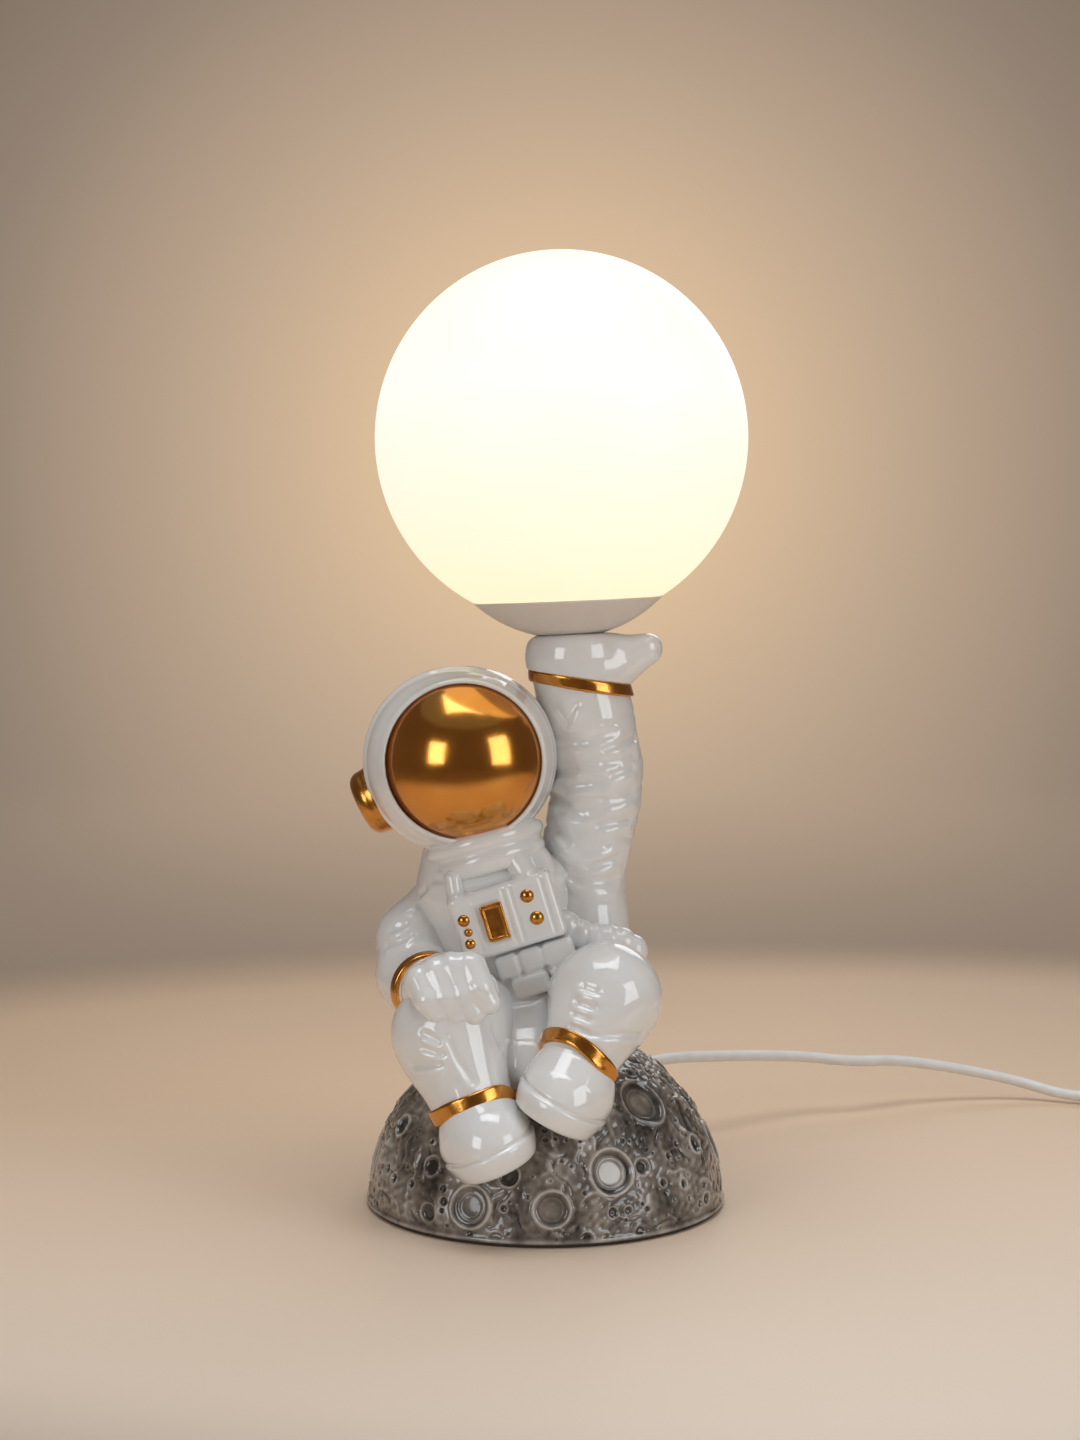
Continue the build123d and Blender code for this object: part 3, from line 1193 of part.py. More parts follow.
# The tie goes round the turns on the side away from the switch
TIE_INNER = COIL_INNER - COIL_PITCH / 4 - CORD_RADIUS - TIE_CLEARANCE
TIE_OUTER = COIL_OUTER - COIL_PITCH / 4 + CORD_RADIUS + TIE_CLEARANCE
TIE_INSIDE_HEIGHT = COIL_HIGH + CORD_RADIUS + TIE_CLEARANCE - TIE_THICKNESS
TIE = Plane(
    origin=COIL_MIDDLE + Vector((TIE_INNER + TIE_OUTER) / 2, 0, TIE_THICKNESS + TIE_INSIDE_HEIGHT / 2),
    x_dir=(1, 0, 0),
    z_dir=(0, -1, 0),
)
with BuildPart() as cord_tie:
    with BuildSketch(TIE):
        RectangleRounded(
            TIE_OUTER - TIE_INNER + 2 * TIE_THICKNESS, TIE_INSIDE_HEIGHT + 2 * TIE_THICKNESS, CORD_RADIUS
        )
        RectangleRounded(
            TIE_OUTER - TIE_INNER, TIE_INSIDE_HEIGHT, CORD_RADIUS - TIE_THICKNESS, mode=Mode.SUBTRACT
        )
    extrude(amount=TIE_WIDTH / 2, both=True)

# Two-pin plug, as high as the coil's top layer so that it lies flat
PLUG = Plane(origin=PLUG_START, x_dir=(0, 1, 0), z_dir=(-1, 0, 0))
PLUG_FRONT = PLUG_TAIL + PLUG_BODY
with BuildPart(PLUG) as plug_body:
    Cone(PLUG_TAIL_RADIUS, PLUG_NECK_RADIUS, PLUG_TAIL, align=RISING)
    with BuildSketch(PLUG.offset(PLUG_TAIL)):
        RectangleRounded(PLUG_WIDTH, 2 * COIL_HIGH, PLUG_CORNER)
    extrude(amount=PLUG_BODY)
    Cylinder(CORD_RADIUS + CORD_FIT, PLUG_GRIP + CORD_FIT, align=RISING, mode=Mode.SUBTRACT)
    with Locations((0, 0, PLUG_FRONT - PLUG_PIN_SEAT)):
        with GridLocations(PLUG_PIN_SPACING, 0, 2, 1):
            Cylinder(PLUG_PIN_RADIUS + PLUG_PIN_FIT, PLUG_PIN_SEAT, align=RISING, mode=Mode.SUBTRACT)

with BuildPart(PLUG) as plug_pins:
    with Locations((0, 0, PLUG_FRONT - PLUG_PIN_SEAT)):
        with GridLocations(PLUG_PIN_SPACING, 0, 2, 1):
            Cylinder(PLUG_PIN_RADIUS, PLUG_PIN_SEAT + PLUG_PIN_LENGTH, align=RISING)

save(cord_coil, "cord_coil")
save(cord_tie, "cord_tie")
save(plug_body, "plug_body")
save(plug_pins, "plug_pins")
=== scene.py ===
import math

import bpy
import numpy as np
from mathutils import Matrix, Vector


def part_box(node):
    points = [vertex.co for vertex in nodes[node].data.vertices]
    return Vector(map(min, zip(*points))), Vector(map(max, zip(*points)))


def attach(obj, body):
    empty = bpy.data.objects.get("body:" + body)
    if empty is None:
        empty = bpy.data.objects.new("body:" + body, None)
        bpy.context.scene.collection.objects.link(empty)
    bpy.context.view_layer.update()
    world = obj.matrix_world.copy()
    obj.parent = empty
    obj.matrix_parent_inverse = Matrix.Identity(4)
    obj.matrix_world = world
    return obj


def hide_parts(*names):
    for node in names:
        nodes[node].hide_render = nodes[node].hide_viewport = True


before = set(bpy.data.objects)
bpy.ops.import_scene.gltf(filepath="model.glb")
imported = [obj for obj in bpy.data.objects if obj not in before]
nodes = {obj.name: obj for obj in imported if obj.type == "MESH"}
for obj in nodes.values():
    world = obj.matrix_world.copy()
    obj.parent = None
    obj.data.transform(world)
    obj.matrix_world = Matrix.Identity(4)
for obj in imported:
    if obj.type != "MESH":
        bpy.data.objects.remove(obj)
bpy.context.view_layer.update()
scene = bpy.context.scene
scene.view_settings.view_transform = "Standard"

MM = 0.001  # forms are worked out in millimetres, and the scene is in metres

# Camera, at the height and distance of the photograph's
LENS_PIXELS = 2338.0
FRAME_WIDTH = 1080.0
FRAME_HEIGHT = 1440.0
PITCH = math.radians(3.475)
EYE = np.array([-2.2, -938.0, 252.0])
PIXELS_PER_MM = 2.55  # at the figure

camera_data = bpy.data.cameras.new("camera")
camera_data.sensor_width = 36.0
camera_data.lens = camera_data.sensor_width * LENS_PIXELS / FRAME_HEIGHT
camera = bpy.data.objects.new("camera", camera_data)
camera.location = EYE * MM
camera.rotation_euler = (math.pi / 2 - PITCH, 0, 0)
scene.collection.objects.link(camera)
scene.camera = camera


def unit(vector):
    vector = np.array(vector, float)
    return vector / np.linalg.norm(vector)


def lengths(vectors):
    return np.linalg.norm(vectors, axis=1)


def bell(away, width):
    return np.exp(-((away / width) ** 2))


def run_gap(p, start, end):
    """How far points are from a straight run, and how far along it."""
    along = end - start
    share = np.clip(((p - start) @ along) / max(along @ along, 1e-9), 0, 1)
    return lengths(p - start - share[:, None] * along), share


# Forms are fields: a function of points that gives each one's distance to the surface, below zero inside
def ball(centre, radius):
    centre = np.array(centre)
    return lambda p: lengths(p - centre) - radius


def rod(start, end, start_radius, end_radius):
    start, end = np.array(start), np.array(end)

    def field(p):
        gap, share = run_gap(p, start, end)
        return gap - (start_radius + share * (end_radius - start_radius))

    return field


def rounded(over, rounding):
    """Distance to a form with rounded edges, from the points' distances past its faces."""
    over = np.stack(over, axis=1)
    return lengths(np.maximum(over, 0)) + np.minimum(over.max(axis=1), 0) - rounding


def about(p, centre, axis):
    """How far points are from an axis, and how high along it."""
    local = p - np.array(centre)
    height = local @ axis
    return lengths(local - height[:, None] * axis), height


def block(centre, half, turn, rounding):
    centre = np.array(centre)
    half = np.array(half) - rounding
    return lambda p: rounded((np.abs((p - centre) @ turn) - half).T, rounding)


def puck(centre, axis, radius, half_height, rounding):
    axis = unit(axis)

    def field(p):
        reach, height = about(p, centre, axis)
        return rounded([reach - radius + rounding, np.abs(height) - half_height + rounding], rounding)

    return field


def hoop(centre, axis, radius, bead):
    axis = unit(axis)

    def field(p):
        reach, height = about(p, centre, axis)
        return np.hypot(reach - radius, height) - bead

    return field


def half_space(point, outward):
    point = np.array(point)
    outward = unit(outward)
    return lambda p: (p - point) @ outward


def soft_min(a, b, soft):
    share = np.clip(0.5 + 0.5 * (b - a) / soft, 0, 1)
    return b + (a - b) * share - soft * share * (1 - share)


def join(fields, soft):
    def field(p):
        total = fields[0](p)
        for other in fields[1:]:
            total = soft_min(total, other(p), soft)
        return total

    return field


def meet(first, second, soft):
    return lambda p: -soft_min(-first(p), -second(p), soft)


def less(first, second, soft):
    return lambda p: -soft_min(-first(p), second(p), soft)


def chain(joints, soft=4.0):
    links = zip(joints, joints[1:])
    return join([rod(a[:3], b[:3], a[3], b[3]) for a, b in links], soft)


def line_gap(points, line):
    """Distance of each point to a line of straight runs."""
    return np.min([run_gap(points, start, end)[0] for start, end in zip(line, line[1:])], axis=0)


def sight_lines(pixels):
    """The camera's lines of sight through places of the photograph's frame."""
    pixels = np.array(pixels, float)
    across = (pixels[:, 0] - FRAME_WIDTH / 2) / LENS_PIXELS
    down = (pixels[:, 1] - FRAME_HEIGHT / 2) / LENS_PIXELS
    forward = np.array([0, math.cos(PITCH), -math.sin(PITCH)])
    below = np.array([0, -math.sin(PITCH), -math.cos(PITCH)])
    rays = forward + across[:, None] * np.array([1, 0, 0]) + down[:, None] * below
    return rays / lengths(rays)[:, None]


def at_depth(pixel, y):
    """The point seen at a place of the photograph's frame, at a depth."""
    ray = sight_lines([pixel])[0]
    return EYE + (y - EYE[1]) / ray[1] * ray


def seen(field, pixels, steps=70, start=780.0, pace=0.85):
    """Where places of the photograph's frame lie on a form."""
    rays = sight_lines(pixels)
    reach = np.full(len(rays), start)
    for _ in range(steps):
        reach += pace * field(EYE + reach[:, None] * rays)
    return EYE + reach[:, None] * rays


def stroke(field, pixels, width, depth):
    """A fold on a form, along a line of the photograph's frame."""
    pixels = np.array(pixels, float)
    marks = np.linspace(0, len(pixels) - 1, 6 * (len(pixels) - 1) + 1)
    count = np.arange(len(pixels))
    fine = np.stack([np.interp(marks, count, pixels[:, i]) for i in (0, 1)], axis=1)
    return seen(field, fine), width, depth


FOLD_REACH = 4  # folds are worked out this near to the surface


def folded(field, strokes, ripple=None):
    """A form with its folds pressed in."""

    def shaped(p):
        distance = field(p)
        near = np.abs(distance) < FOLD_REACH
        points = p[near]
        push = np.zeros(len(points))
        for line, width, depth in strokes:
            low = line.min(axis=0) - 3 * width
            high = line.max(axis=0) + 3 * width
            close = np.all((points > low) & (points < high), axis=1)
            if close.any():
                push[close] += depth * bell(line_gap(points[close], line), width)
        if ripple is not None:
            push += ripple(points)
        distance[near] += push
        return distance

    return shaped


def sampled(field, low, high, step):
    """A field's values on a grid, one layer at a time."""
    axes = [np.arange(low[i] - 2.5 * step, high[i] + 3.5 * step, step) for i in range(3)]
    ys, zs = np.meshgrid(axes[1], axes[2], indexing="ij")
    layer = np.stack([np.zeros(ys.size), ys.ravel(), zs.ravel()], axis=1)
    values = np.empty((len(axes[0]), len(axes[1]), len(axes[2])))
    for index, x in enumerate(axes[0]):
        layer[:, 0] = x
        values[index] = field(layer).reshape(ys.shape)
    return values, np.array([axis[0] for axis in axes])


def unpinched(values, step, rounds=4):
    """Grid values, filled where the surface would touch itself along an edge."""
    filled = -0.01 * step
    ends = (slice(None, -1), slice(1, None))
    for one, two in ((0, 1), (0, 2), (1, 2)) * rounds:
        views = []
        for i, j in ((0, 0), (1, 1), (1, 0), (0, 1)):
            part = [slice(None)] * 3
            part[one], part[two] = ends[i], ends[j]
            views.append(values[tuple(part)])
        near, far, right, left = views
        near[(right < 0) & (left < 0) & (near >= 0) & (far >= 0)] = filled
        right[(near < 0) & (far < 0) & (right >= 0) & (left >= 0)] = filled
    return values


CORNERS = [np.array([i, j, k]) for i in (0, 1) for j in (0, 1) for k in (0, 1)]
EDGES = [(a, b) for a in CORNERS for b in CORNERS if (b - a).sum() == 1 and (b - a).min() == 0]


def surface_net(values, origin, step):
    """A closed quad mesh of the zero surface: one point in each cell that the surface crosses."""
    inside = values < 0
    size = np.array(values.shape) - 1
    count = np.zeros(size, np.int8)
    for i, j, k in CORNERS:
        count += inside[i : i + size[0], j : j + size[1], k : k + size[2]]
    crossed = (count > 0) & (count < 8)
    cells = np.argwhere(crossed)
    index = np.full(size, -1)
    index[crossed] = np.arange(len(cells))
    total = np.zeros((len(cells), 3))
    hits = np.zeros(len(cells))
    for a, b in EDGES:
        first = values[tuple((cells + a).T)]
        second = values[tuple((cells + b).T)]
        cut = (first < 0) != (second < 0)
        share = first[cut] / (first[cut] - second[cut])
        total[cut] += a + share[:, None] * (b - a)
        hits[cut] += 1
    points = origin + step * (cells + total / hits[:, None])
    quads = []
    for axis in range(3):
        one, two = (axis + 1) % 3, (axis + 2) % 3
        lower = np.take(inside, np.arange(size[axis]), axis)
        upper = np.take(inside, np.arange(1, size[axis] + 1), axis)
        places = np.argwhere(lower != upper)
        a, b = places[:, one], places[:, two]
        places = places[(a > 0) & (b > 0) & (a < size[one]) & (b < size[two])]
        leaving = lower[tuple(places.T)]
        ring = []
        for step_one, step_two in ((-1, -1), (0, -1), (0, 0), (-1, 0)):
            cell = places.copy()
            cell[:, one] += step_one
            cell[:, two] += step_two
            ring.append(index[tuple(cell.T)])
        ring = np.stack(ring, axis=1)
        ring[~leaving] = ring[~leaving][:, ::-1]
        quads.append(ring)
    return points, np.concatenate(quads)


def settled(field, points, step, rounds=2):
    """Points moved onto the field's own surface."""
    small = 0.15 * step
    for _ in range(rounds):
        value = field(points)
        ends = [(field(points + small * axis), field(points - small * axis)) for axis in np.eye(3)]
        slope = np.stack([(ahead - behind) / (2 * small) for ahead, behind in ends], axis=1)
        move = -value / np.maximum((slope**2).sum(axis=1), 0.2)
        points = points + np.clip(move, -0.5 * step, 0.5 * step)[:, None] * slope
    return points


def smooth_mesh(name, points, faces, material):
    mesh = bpy.data.meshes.new(name)
    mesh.from_pydata(points, [], faces)
    mesh.polygons.foreach_set("use_smooth", [True] * len(mesh.polygons))
    mesh.materials.append(material)
    piece = bpy.data.objects.new(name, mesh)
    scene.collection.objects.link(piece)
    return piece


def put(name, points, faces, material, slot, replaced, body="lamp"):
    """A piece of the lamp, from points in millimetres, in place of nodes."""
    piece = smooth_mesh(name, (np.asarray(points) * MM).tolist(), [list(face) for face in faces], material)
    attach(piece, body)
    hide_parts(*replaced)
    return piece


def box_of(name):
    """The box round a node, in millimetres."""
    low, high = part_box(name)
    return np.array(low) / MM, np.array(high) / MM


BOX_MARGIN = 5


def sculpt(name, field, node, step, finish, more=(0, 0, 0)):
    """A closed mesh of a field, in place of a node and within a margin round its box."""
    box = box_of(node)
    margin = np.array(more) + BOX_MARGIN
    low, high = box[0] - margin, box[1] + margin
    case = block((low + high) / 2, (high - low) / 2, np.eye(3), 0.0)

    def cased(p):
        return np.maximum(field(p), case(p))

    values, origin = sampled(cased, low, high, step)
    points, faces = surface_net(unpinched(values, step), origin, step)
    return put(name, settled(cased, points, step), faces, *finish, [node])


# Materials
def tree_of(name):
    material = bpy.data.materials.new(name)
    material.use_nodes = True
    tree = material.node_tree
    return material, tree, tree.nodes["Principled BSDF"]


def feed(tree, node, values, links):
    """A node, with values set on some of its sockets and sources linked to others."""
    for name, value in values.items():
        node.inputs[name].default_value = value
    for name, source in links.items():
        tree.links.new(source, node.inputs[name])
    return node


def node_of(tree, kind, values, links):
    return feed(tree, tree.nodes.new(kind), values, links)


def noise_of(tree, scale, detail=3.0, stretch=None):
    """Noise by place, scale in turns per metre."""
    source = tree.nodes.new("ShaderNodeTexCoord").outputs["Object"]
    if stretch is not None:
        mapping = node_of(tree, "ShaderNodeMapping", {"Scale": stretch}, {"Vector": source})
        source = mapping.outputs["Vector"]
    noise = node_of(tree, "ShaderNodeTexNoise", {"Scale": scale, "Detail": detail}, {"Vector": source})
    return noise.outputs["Fac"]


def ramp_of(tree, source, stops):
    """A colour ramp of (place, colour) stops."""
    ramp = tree.nodes.new("ShaderNodeValToRGB")
    elements = ramp.color_ramp.elements
    while len(elements) < len(stops):
        elements.new(0.5)
    for element, (place, colour) in zip(elements, stops):
        element.position = place
        element.color = (*colour, 1.0)
    tree.links.new(source, ramp.inputs["Fac"])
    return ramp.outputs["Color"]


NOISE_RANGE = (0.3, 0.7)  # where most of a noise lies


def span_of(tree, source, low=0.0, high=1.0, within=NOISE_RANGE):
    """A source spread from the range it lies within to another."""
    values = {"From Min": within[0], "From Max": within[1], "To Min": low, "To Max": high}
    return node_of(tree, "ShaderNodeMapRange", values, {"Value": source}).outputs["Result"]


def math_of(tree, operation, first, second):
    node = node_of(tree, "ShaderNodeMath", {}, {0: first, 1: second})
    node.operation = operation
    return node.outputs["Value"]


def wander_of(tree, source, dark, light):
    """A colour that wanders with a noise."""
    return ramp_of(tree, source, list(zip(NOISE_RANGE, (dark, light))))


BUMP_HEIGHT = 0.0004
COAT_ROUGHNESS = 0.03


def surface(name, light, dark, scale, rough, metal=0.0, coat=0.0, bump=0.0, bump_scale=900.0, stretch=None):
    """A finish whose colour and gloss wander from place to place."""
    material, tree, shader = tree_of(name)
    values = {"Metallic": metal, "Coat Weight": coat, "Coat Roughness": COAT_ROUGHNESS}
    links = {
        "Base Color": wander_of(tree, noise_of(tree, scale, stretch=stretch), dark, light),
        "Roughness": span_of(tree, noise_of(tree, scale * 1.7), *rough),
    }
    if bump:
        relief = {"Strength": bump, "Distance": BUMP_HEIGHT}
        height = noise_of(tree, bump_scale)
        links["Normal"] = node_of(tree, "ShaderNodeBump", relief, {"Height": height}).outputs["Normal"]
    feed(tree, shader, values, links)
    return material


white_glaze = surface(
    "white_glaze", (0.84, 0.84, 0.835), (0.79, 0.795, 0.8), 45.0, (0.05, 0.12),
    coat=0.8, bump=0.06, bump_scale=160.0,
)
gold_lustre = surface(
    "gold_lustre", (0.74, 0.32, 0.05), (0.6, 0.24, 0.034), 160.0, (0.16, 0.28),
    metal=1.0, coat=0.4, bump=0.1, bump_scale=700.0,
)
visor_gold = surface(
    "visor_gold", (0.76, 0.32, 0.048), (0.68, 0.27, 0.038), 60.0, (0.14, 0.2),
    metal=1.0, coat=0.5, bump=0.03, bump_scale=500.0,
)
GOLD_COAT_IOR = 1.6
for gold in (gold_lustre, visor_gold):
    gold.node_tree.nodes["Principled BSDF"].inputs["Coat IOR"].default_value = GOLD_COAT_IOR
GLAZE = (white_glaze, "white_glaze")  # a finish and its slot
LUSTRE = (gold_lustre, "gold_lustre")
white_metal = surface("white_metal", (0.76, 0.7, 0.64), (0.72, 0.66, 0.6), 60.0, (0.32, 0.42), bump=0.05)
white_plastic = surface("white_plastic", (0.84, 0.84, 0.83), (0.8, 0.8, 0.79), 120.0, (0.3, 0.4), bump=0.08)
white_rubber = surface("white_rubber", (0.8, 0.8, 0.79), (0.74, 0.74, 0.73), 140.0, (0.36, 0.5), bump=0.1)
dark_pad = surface("dark_pad", (0.05, 0.046, 0.042), (0.03, 0.028, 0.026), 300.0, (0.75, 0.9), bump=0.4)
black_plate = surface("black_plate", (0.05, 0.05, 0.05), (0.035, 0.035, 0.035), 200.0, (0.45, 0.6), bump=0.1)
steel = surface(
    "steel", (0.62, 0.62, 0.63), (0.5, 0.5, 0.51), 400.0, (0.25, 0.38), metal=1.0, stretch=(1.0, 1.0, 8.0)
)
satin_metal = surface("satin_metal", (0.7, 0.7, 0.71), (0.62, 0.62, 0.63), 300.0, (0.3, 0.4), metal=1.0)
brass = surface("brass", (0.74, 0.62, 0.36), (0.62, 0.5, 0.27), 500.0, (0.25, 0.4), metal=1.0)
nickel = surface("nickel", (0.72, 0.71, 0.68), (0.64, 0.63, 0.6), 500.0, (0.2, 0.3), metal=1.0)
ceramic = surface("holder_ceramic", (0.82, 0.81, 0.78), (0.74, 0.72, 0.68), 200.0, (0.5, 0.65), bump=0.15)
gasket_rubber = surface("gasket_rubber", (0.72, 0.72, 0.7), (0.66, 0.66, 0.64), 200.0, (0.5, 0.6))
brown_wire = surface("brown_wire", (0.2, 0.09, 0.045), (0.15, 0.065, 0.03), 300.0, (0.4, 0.5))
blue_wire = surface("blue_wire", (0.05, 0.13, 0.4), (0.035, 0.09, 0.3), 300.0, (0.4, 0.5))


GLOBE_HEIGHTS = (0.24, 0.385)  # from the seam to the top


def lit(name, stops, base, strength):
    """Opal glass lit from inside: its colour goes with the height on the globe."""
    material, tree, shader = tree_of(name)
    place = tree.nodes.new("ShaderNodeTexCoord").outputs["Object"]
    height = node_of(tree, "ShaderNodeSeparateXYZ", {}, {"Vector": place}).outputs["Z"]
    dark = tuple(0.94 * level for level in base)
    links = {
        "Emission Color": ramp_of(tree, span_of(tree, height, within=GLOBE_HEIGHTS), stops),
        "Base Color": wander_of(tree, noise_of(tree, 30.0), dark, base),
    }
    feed(tree, shader, {"Emission Strength": strength, "Roughness": 0.5}, links)
    return material


GLOW = [
    (0.0, (1.0, 0.87, 0.58)),
    (0.3, (1.0, 0.93, 0.74)),
    (0.6, (1.0, 0.96, 0.88)),
    (1.0, (1.0, 0.93, 0.74)),
]
opal_glass = lit("opal_glass", GLOW, (0.3, 0.28, 0.25), 0.92)
bulb_glow = lit("bulb_glow", GLOW, (0.6, 0.57, 0.52), 1.5)

NODE_FINISHES = [
    (gold_lustre, "chest_buttons"),
    (black_plate, "bottom_cover"),
    (dark_pad, "bottom_pad"),
    (steel, "cover_screws", "threaded_tube", "tube_washers", "tube_nuts", "switch_screws"),
    (white_rubber, "cord_gland"),
    (satin_metal, "globe_collar"),
    (gasket_rubber, "globe_gasket"),
    (ceramic, "lamp_holder"),
    (brass, "holder_contacts", "switch_contacts"),
    (nickel, "bulb_pins", "plug_pins"),
    (bulb_glow, "bulb_cover"),
    (white_plastic, "bulb_base", "switch_base", "switch_cover", "switch_rocker", "cord_tie", "plug_body"),
    (brown_wire, "wire_live"),
    (blue_wire, "wire_neutral"),
]
for finish, *names in NODE_FINISHES:
    for name in names:
        nodes[name].data.materials.clear()
        nodes[name].data.materials.append(finish)


# Cords: the lead to the switch, and from there the coil to the plug
CORD_RADIUS = 2.5
LEAD_ROUTE = [
    (22.2, 47.6, 38),
    (43.75, 93.82, 38),
    (84, 128, 32.4),
    (121.4, 155, 26.7),
    (145.2, 156, 23.6),
    (172.2, 175, 20.9),
    (222.8, 185, 10.4),
    (254, 172, 2.6),
    (273.8, 165, 6.5),
    (291.8, 165, 6.5),
]


def cord(name, route, replaced):
    curve = bpy.data.curves.new(name, "CURVE")
    curve.dimensions = "3D"
    curve.bevel_depth = CORD_RADIUS * MM
    curve.bevel_resolution = 5
    curve.use_fill_caps = True
    spline = curve.splines.new("NURBS")
    spline.points.add(len(route) - 1)
    for point, place in zip(spline.points, route):
        point.co = (*(np.array(place) * MM), 1.0)
    spline.order_u = 3
    spline.use_endpoint_u = True
    spline.resolution_u = 10
    curve.materials.append(white_rubber)
    piece = bpy.data.objects.new(name, curve)
    scene.collection.objects.link(piece)
    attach(piece, "lamp")
    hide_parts(replaced)
    return piece


COIL_MIDDLE = np.array([371.0, 121.0])
COIL_PITCH = 5.6
COIL_LOW = 4.0
COIL_HIGH = 9.6
COIL_REACH = 44.0
COIL_STEPS = 14  # points in each half turn
SWITCH_END = (336.2, 350.0)  # along x, from the switch into the coil
SWITCH_Y = 165.0
SWITCH_HEIGHT = 6.5
PLUG_END = (371.0, 352.0, 322.0)  # along x, from the coil into the plug

# Reach and height at each half turn: inward in the low layer, then outward on top of it
COIL_STOPS = [(COIL_REACH, SWITCH_HEIGHT)]
COIL_STOPS += [(COIL_REACH - turn * COIL_PITCH / 2, COIL_LOW) for turn in range(1, 9)]
COIL_STOPS += [(18.8, COIL_HIGH)]
COIL_STOPS += [(21.6 + (turn + 1) * COIL_PITCH / 2, COIL_HIGH) for turn in range(6)]


def coil_route():
    points = [(x, SWITCH_Y, SWITCH_HEIGHT) for x in SWITCH_END]
    for half, ((reach, height), (next_reach, next_height)) in enumerate(zip(COIL_STOPS, COIL_STOPS[1:])):
        side = 1 if half % 2 == 0 else -1
        radius = (reach + next_reach) / 2
        middle = side * (reach - next_reach) / 2
        for step in range(COIL_STEPS):
            share = step / COIL_STEPS
            angle = math.pi * share
            x = COIL_MIDDLE[0] + side * radius * math.sin(angle)
            y = COIL_MIDDLE[1] + middle + side * radius * math.cos(angle)
            points.append((x, y, height + (next_height - height) * share))
    end_y = COIL_MIDDLE[1] - COIL_STOPS[-1][0]
    return points + [(x, end_y, COIL_HIGH) for x in PLUG_END]


lead = cord("lead_to_switch", LEAD_ROUTE, "cord_lead")
coil = cord("lead_to_plug", coil_route(), "cord_coil")


def turn_about_y(degrees):
    """Axes as columns: x leaned up by the angle, y along the view, z leaned with it."""
    a = math.radians(degrees)
    return np.array([[math.cos(a), 0, -math.sin(a)], [0, 1, 0], [math.sin(a), 0, math.cos(a)]])


# Lamp head, turned about its own axis
PALM = np.array([9.7, 9.0, 229.5])
HEAD_TILT = 2.4
HEAD_UP = turn_about_y(HEAD_TILT)[:, 2]
HEAD_AXES = (PALM, *turn_about_y(HEAD_TILT).T)
TURN_STEPS = 160


def arc(centre, radius, start, end, count):
    angles = np.radians(np.linspace(start, end, count))
    return [(centre[0] + radius * math.cos(a), centre[1] + radius * math.sin(a)) for a in angles]


def lathe(profile, axes, steps, closed):
    """Points and faces of a profile of (reach, height) turned about an axis."""
    origin, across, back, up = axes
    angles = np.linspace(0, 2 * math.pi, steps, endpoint=False)
    points = []
    rows = []
    for reach, height in profile:
        turns = angles if reach else angles[:1]
        rows.append((len(points) + np.arange(steps) % len(turns)).tolist())
        for a in turns:
            points.append(origin + height * up + reach * (math.cos(a) * across + math.sin(a) * back))
    pairs = list(zip(rows, rows[1:]))
    if closed and profile[0][0]:
        pairs.append((rows[-1], rows[0]))
    faces = []
    for low, high in pairs:
        for step in range(steps):
            after = (step + 1) % steps
            faces.append(list(dict.fromkeys([low[step], low[after], high[after], high[step]])))
    return points, faces


def turned(name, profile, axes, material, slot, replaced, body="lamp"):
    points, faces = lathe(profile, axes, TURN_STEPS, closed=True)
    return put(name, points, faces, material, slot, replaced, body)


GLOBE_RADIUS = 75.0
GLOBE_WALL = 2.5
NECK_INSIDE = 21.5
NECK_OUTSIDE = 24.0
NECK_EDGE = 6.4
NECK_END = 6.05
SEAM_RADIUS = 38.0
SHOULDER = 13.8
GLOBE_CENTRE = SHOULDER + math.sqrt(GLOBE_RADIUS**2 - SEAM_RADIUS**2)
seam_angle = math.degrees(math.atan2(SHOULDER - GLOBE_CENTRE, SEAM_RADIUS))
inside = GLOBE_RADIUS - GLOBE_WALL
mouth_height = SHOULDER + GLOBE_WALL
mouth_reach = math.sqrt(inside**2 - (GLOBE_CENTRE - mouth_height) ** 2)
mouth_angle = math.degrees(math.atan2(mouth_height - GLOBE_CENTRE, mouth_reach))
globe_profile = [(0.0, GLOBE_CENTRE + inside)]
globe_profile += arc((0, GLOBE_CENTRE), inside, 88, mouth_angle, 60)
globe_profile += [(NECK_INSIDE, mouth_height), (NECK_INSIDE, NECK_EDGE), (NECK_INSIDE + 0.5, NECK_END)]
globe_profile += [(NECK_OUTSIDE - 0.5, NECK_END), (NECK_OUTSIDE, NECK_EDGE), (NECK_OUTSIDE, SHOULDER)]
globe_profile += [(SEAM_RADIUS - 1.2, SHOULDER), (SEAM_RADIUS - 0.4, SHOULDER + 0.1)]
globe_profile += arc((0, GLOBE_CENTRE), GLOBE_RADIUS, seam_angle + 0.4, 88, 90)
globe_profile += [(0.0, GLOBE_CENTRE + GLOBE_RADIUS)]
turned("opal_globe", globe_profile, HEAD_AXES, opal_glass, "opal_glass", ["globe_shade"], "globe")

CAP_DEPTH = 13.5
CAP_FLAT = 14.0
CAP_WALL = 1.2
CAP_HOLE = 5.2
dish_centre = (SEAM_RADIUS**2 + CAP_DEPTH**2 - CAP_FLAT**2) / (2 * CAP_DEPTH)
dish_radius = math.hypot(CAP_FLAT, dish_centre)


def dish_arc(radius, start, end, count):
    """The dish's round wall between two reaches."""
    start_angle, end_angle = (math.degrees(-math.acos(reach / radius)) for reach in (start, end))
    return arc((0, dish_centre), radius, start_angle, end_angle, count)


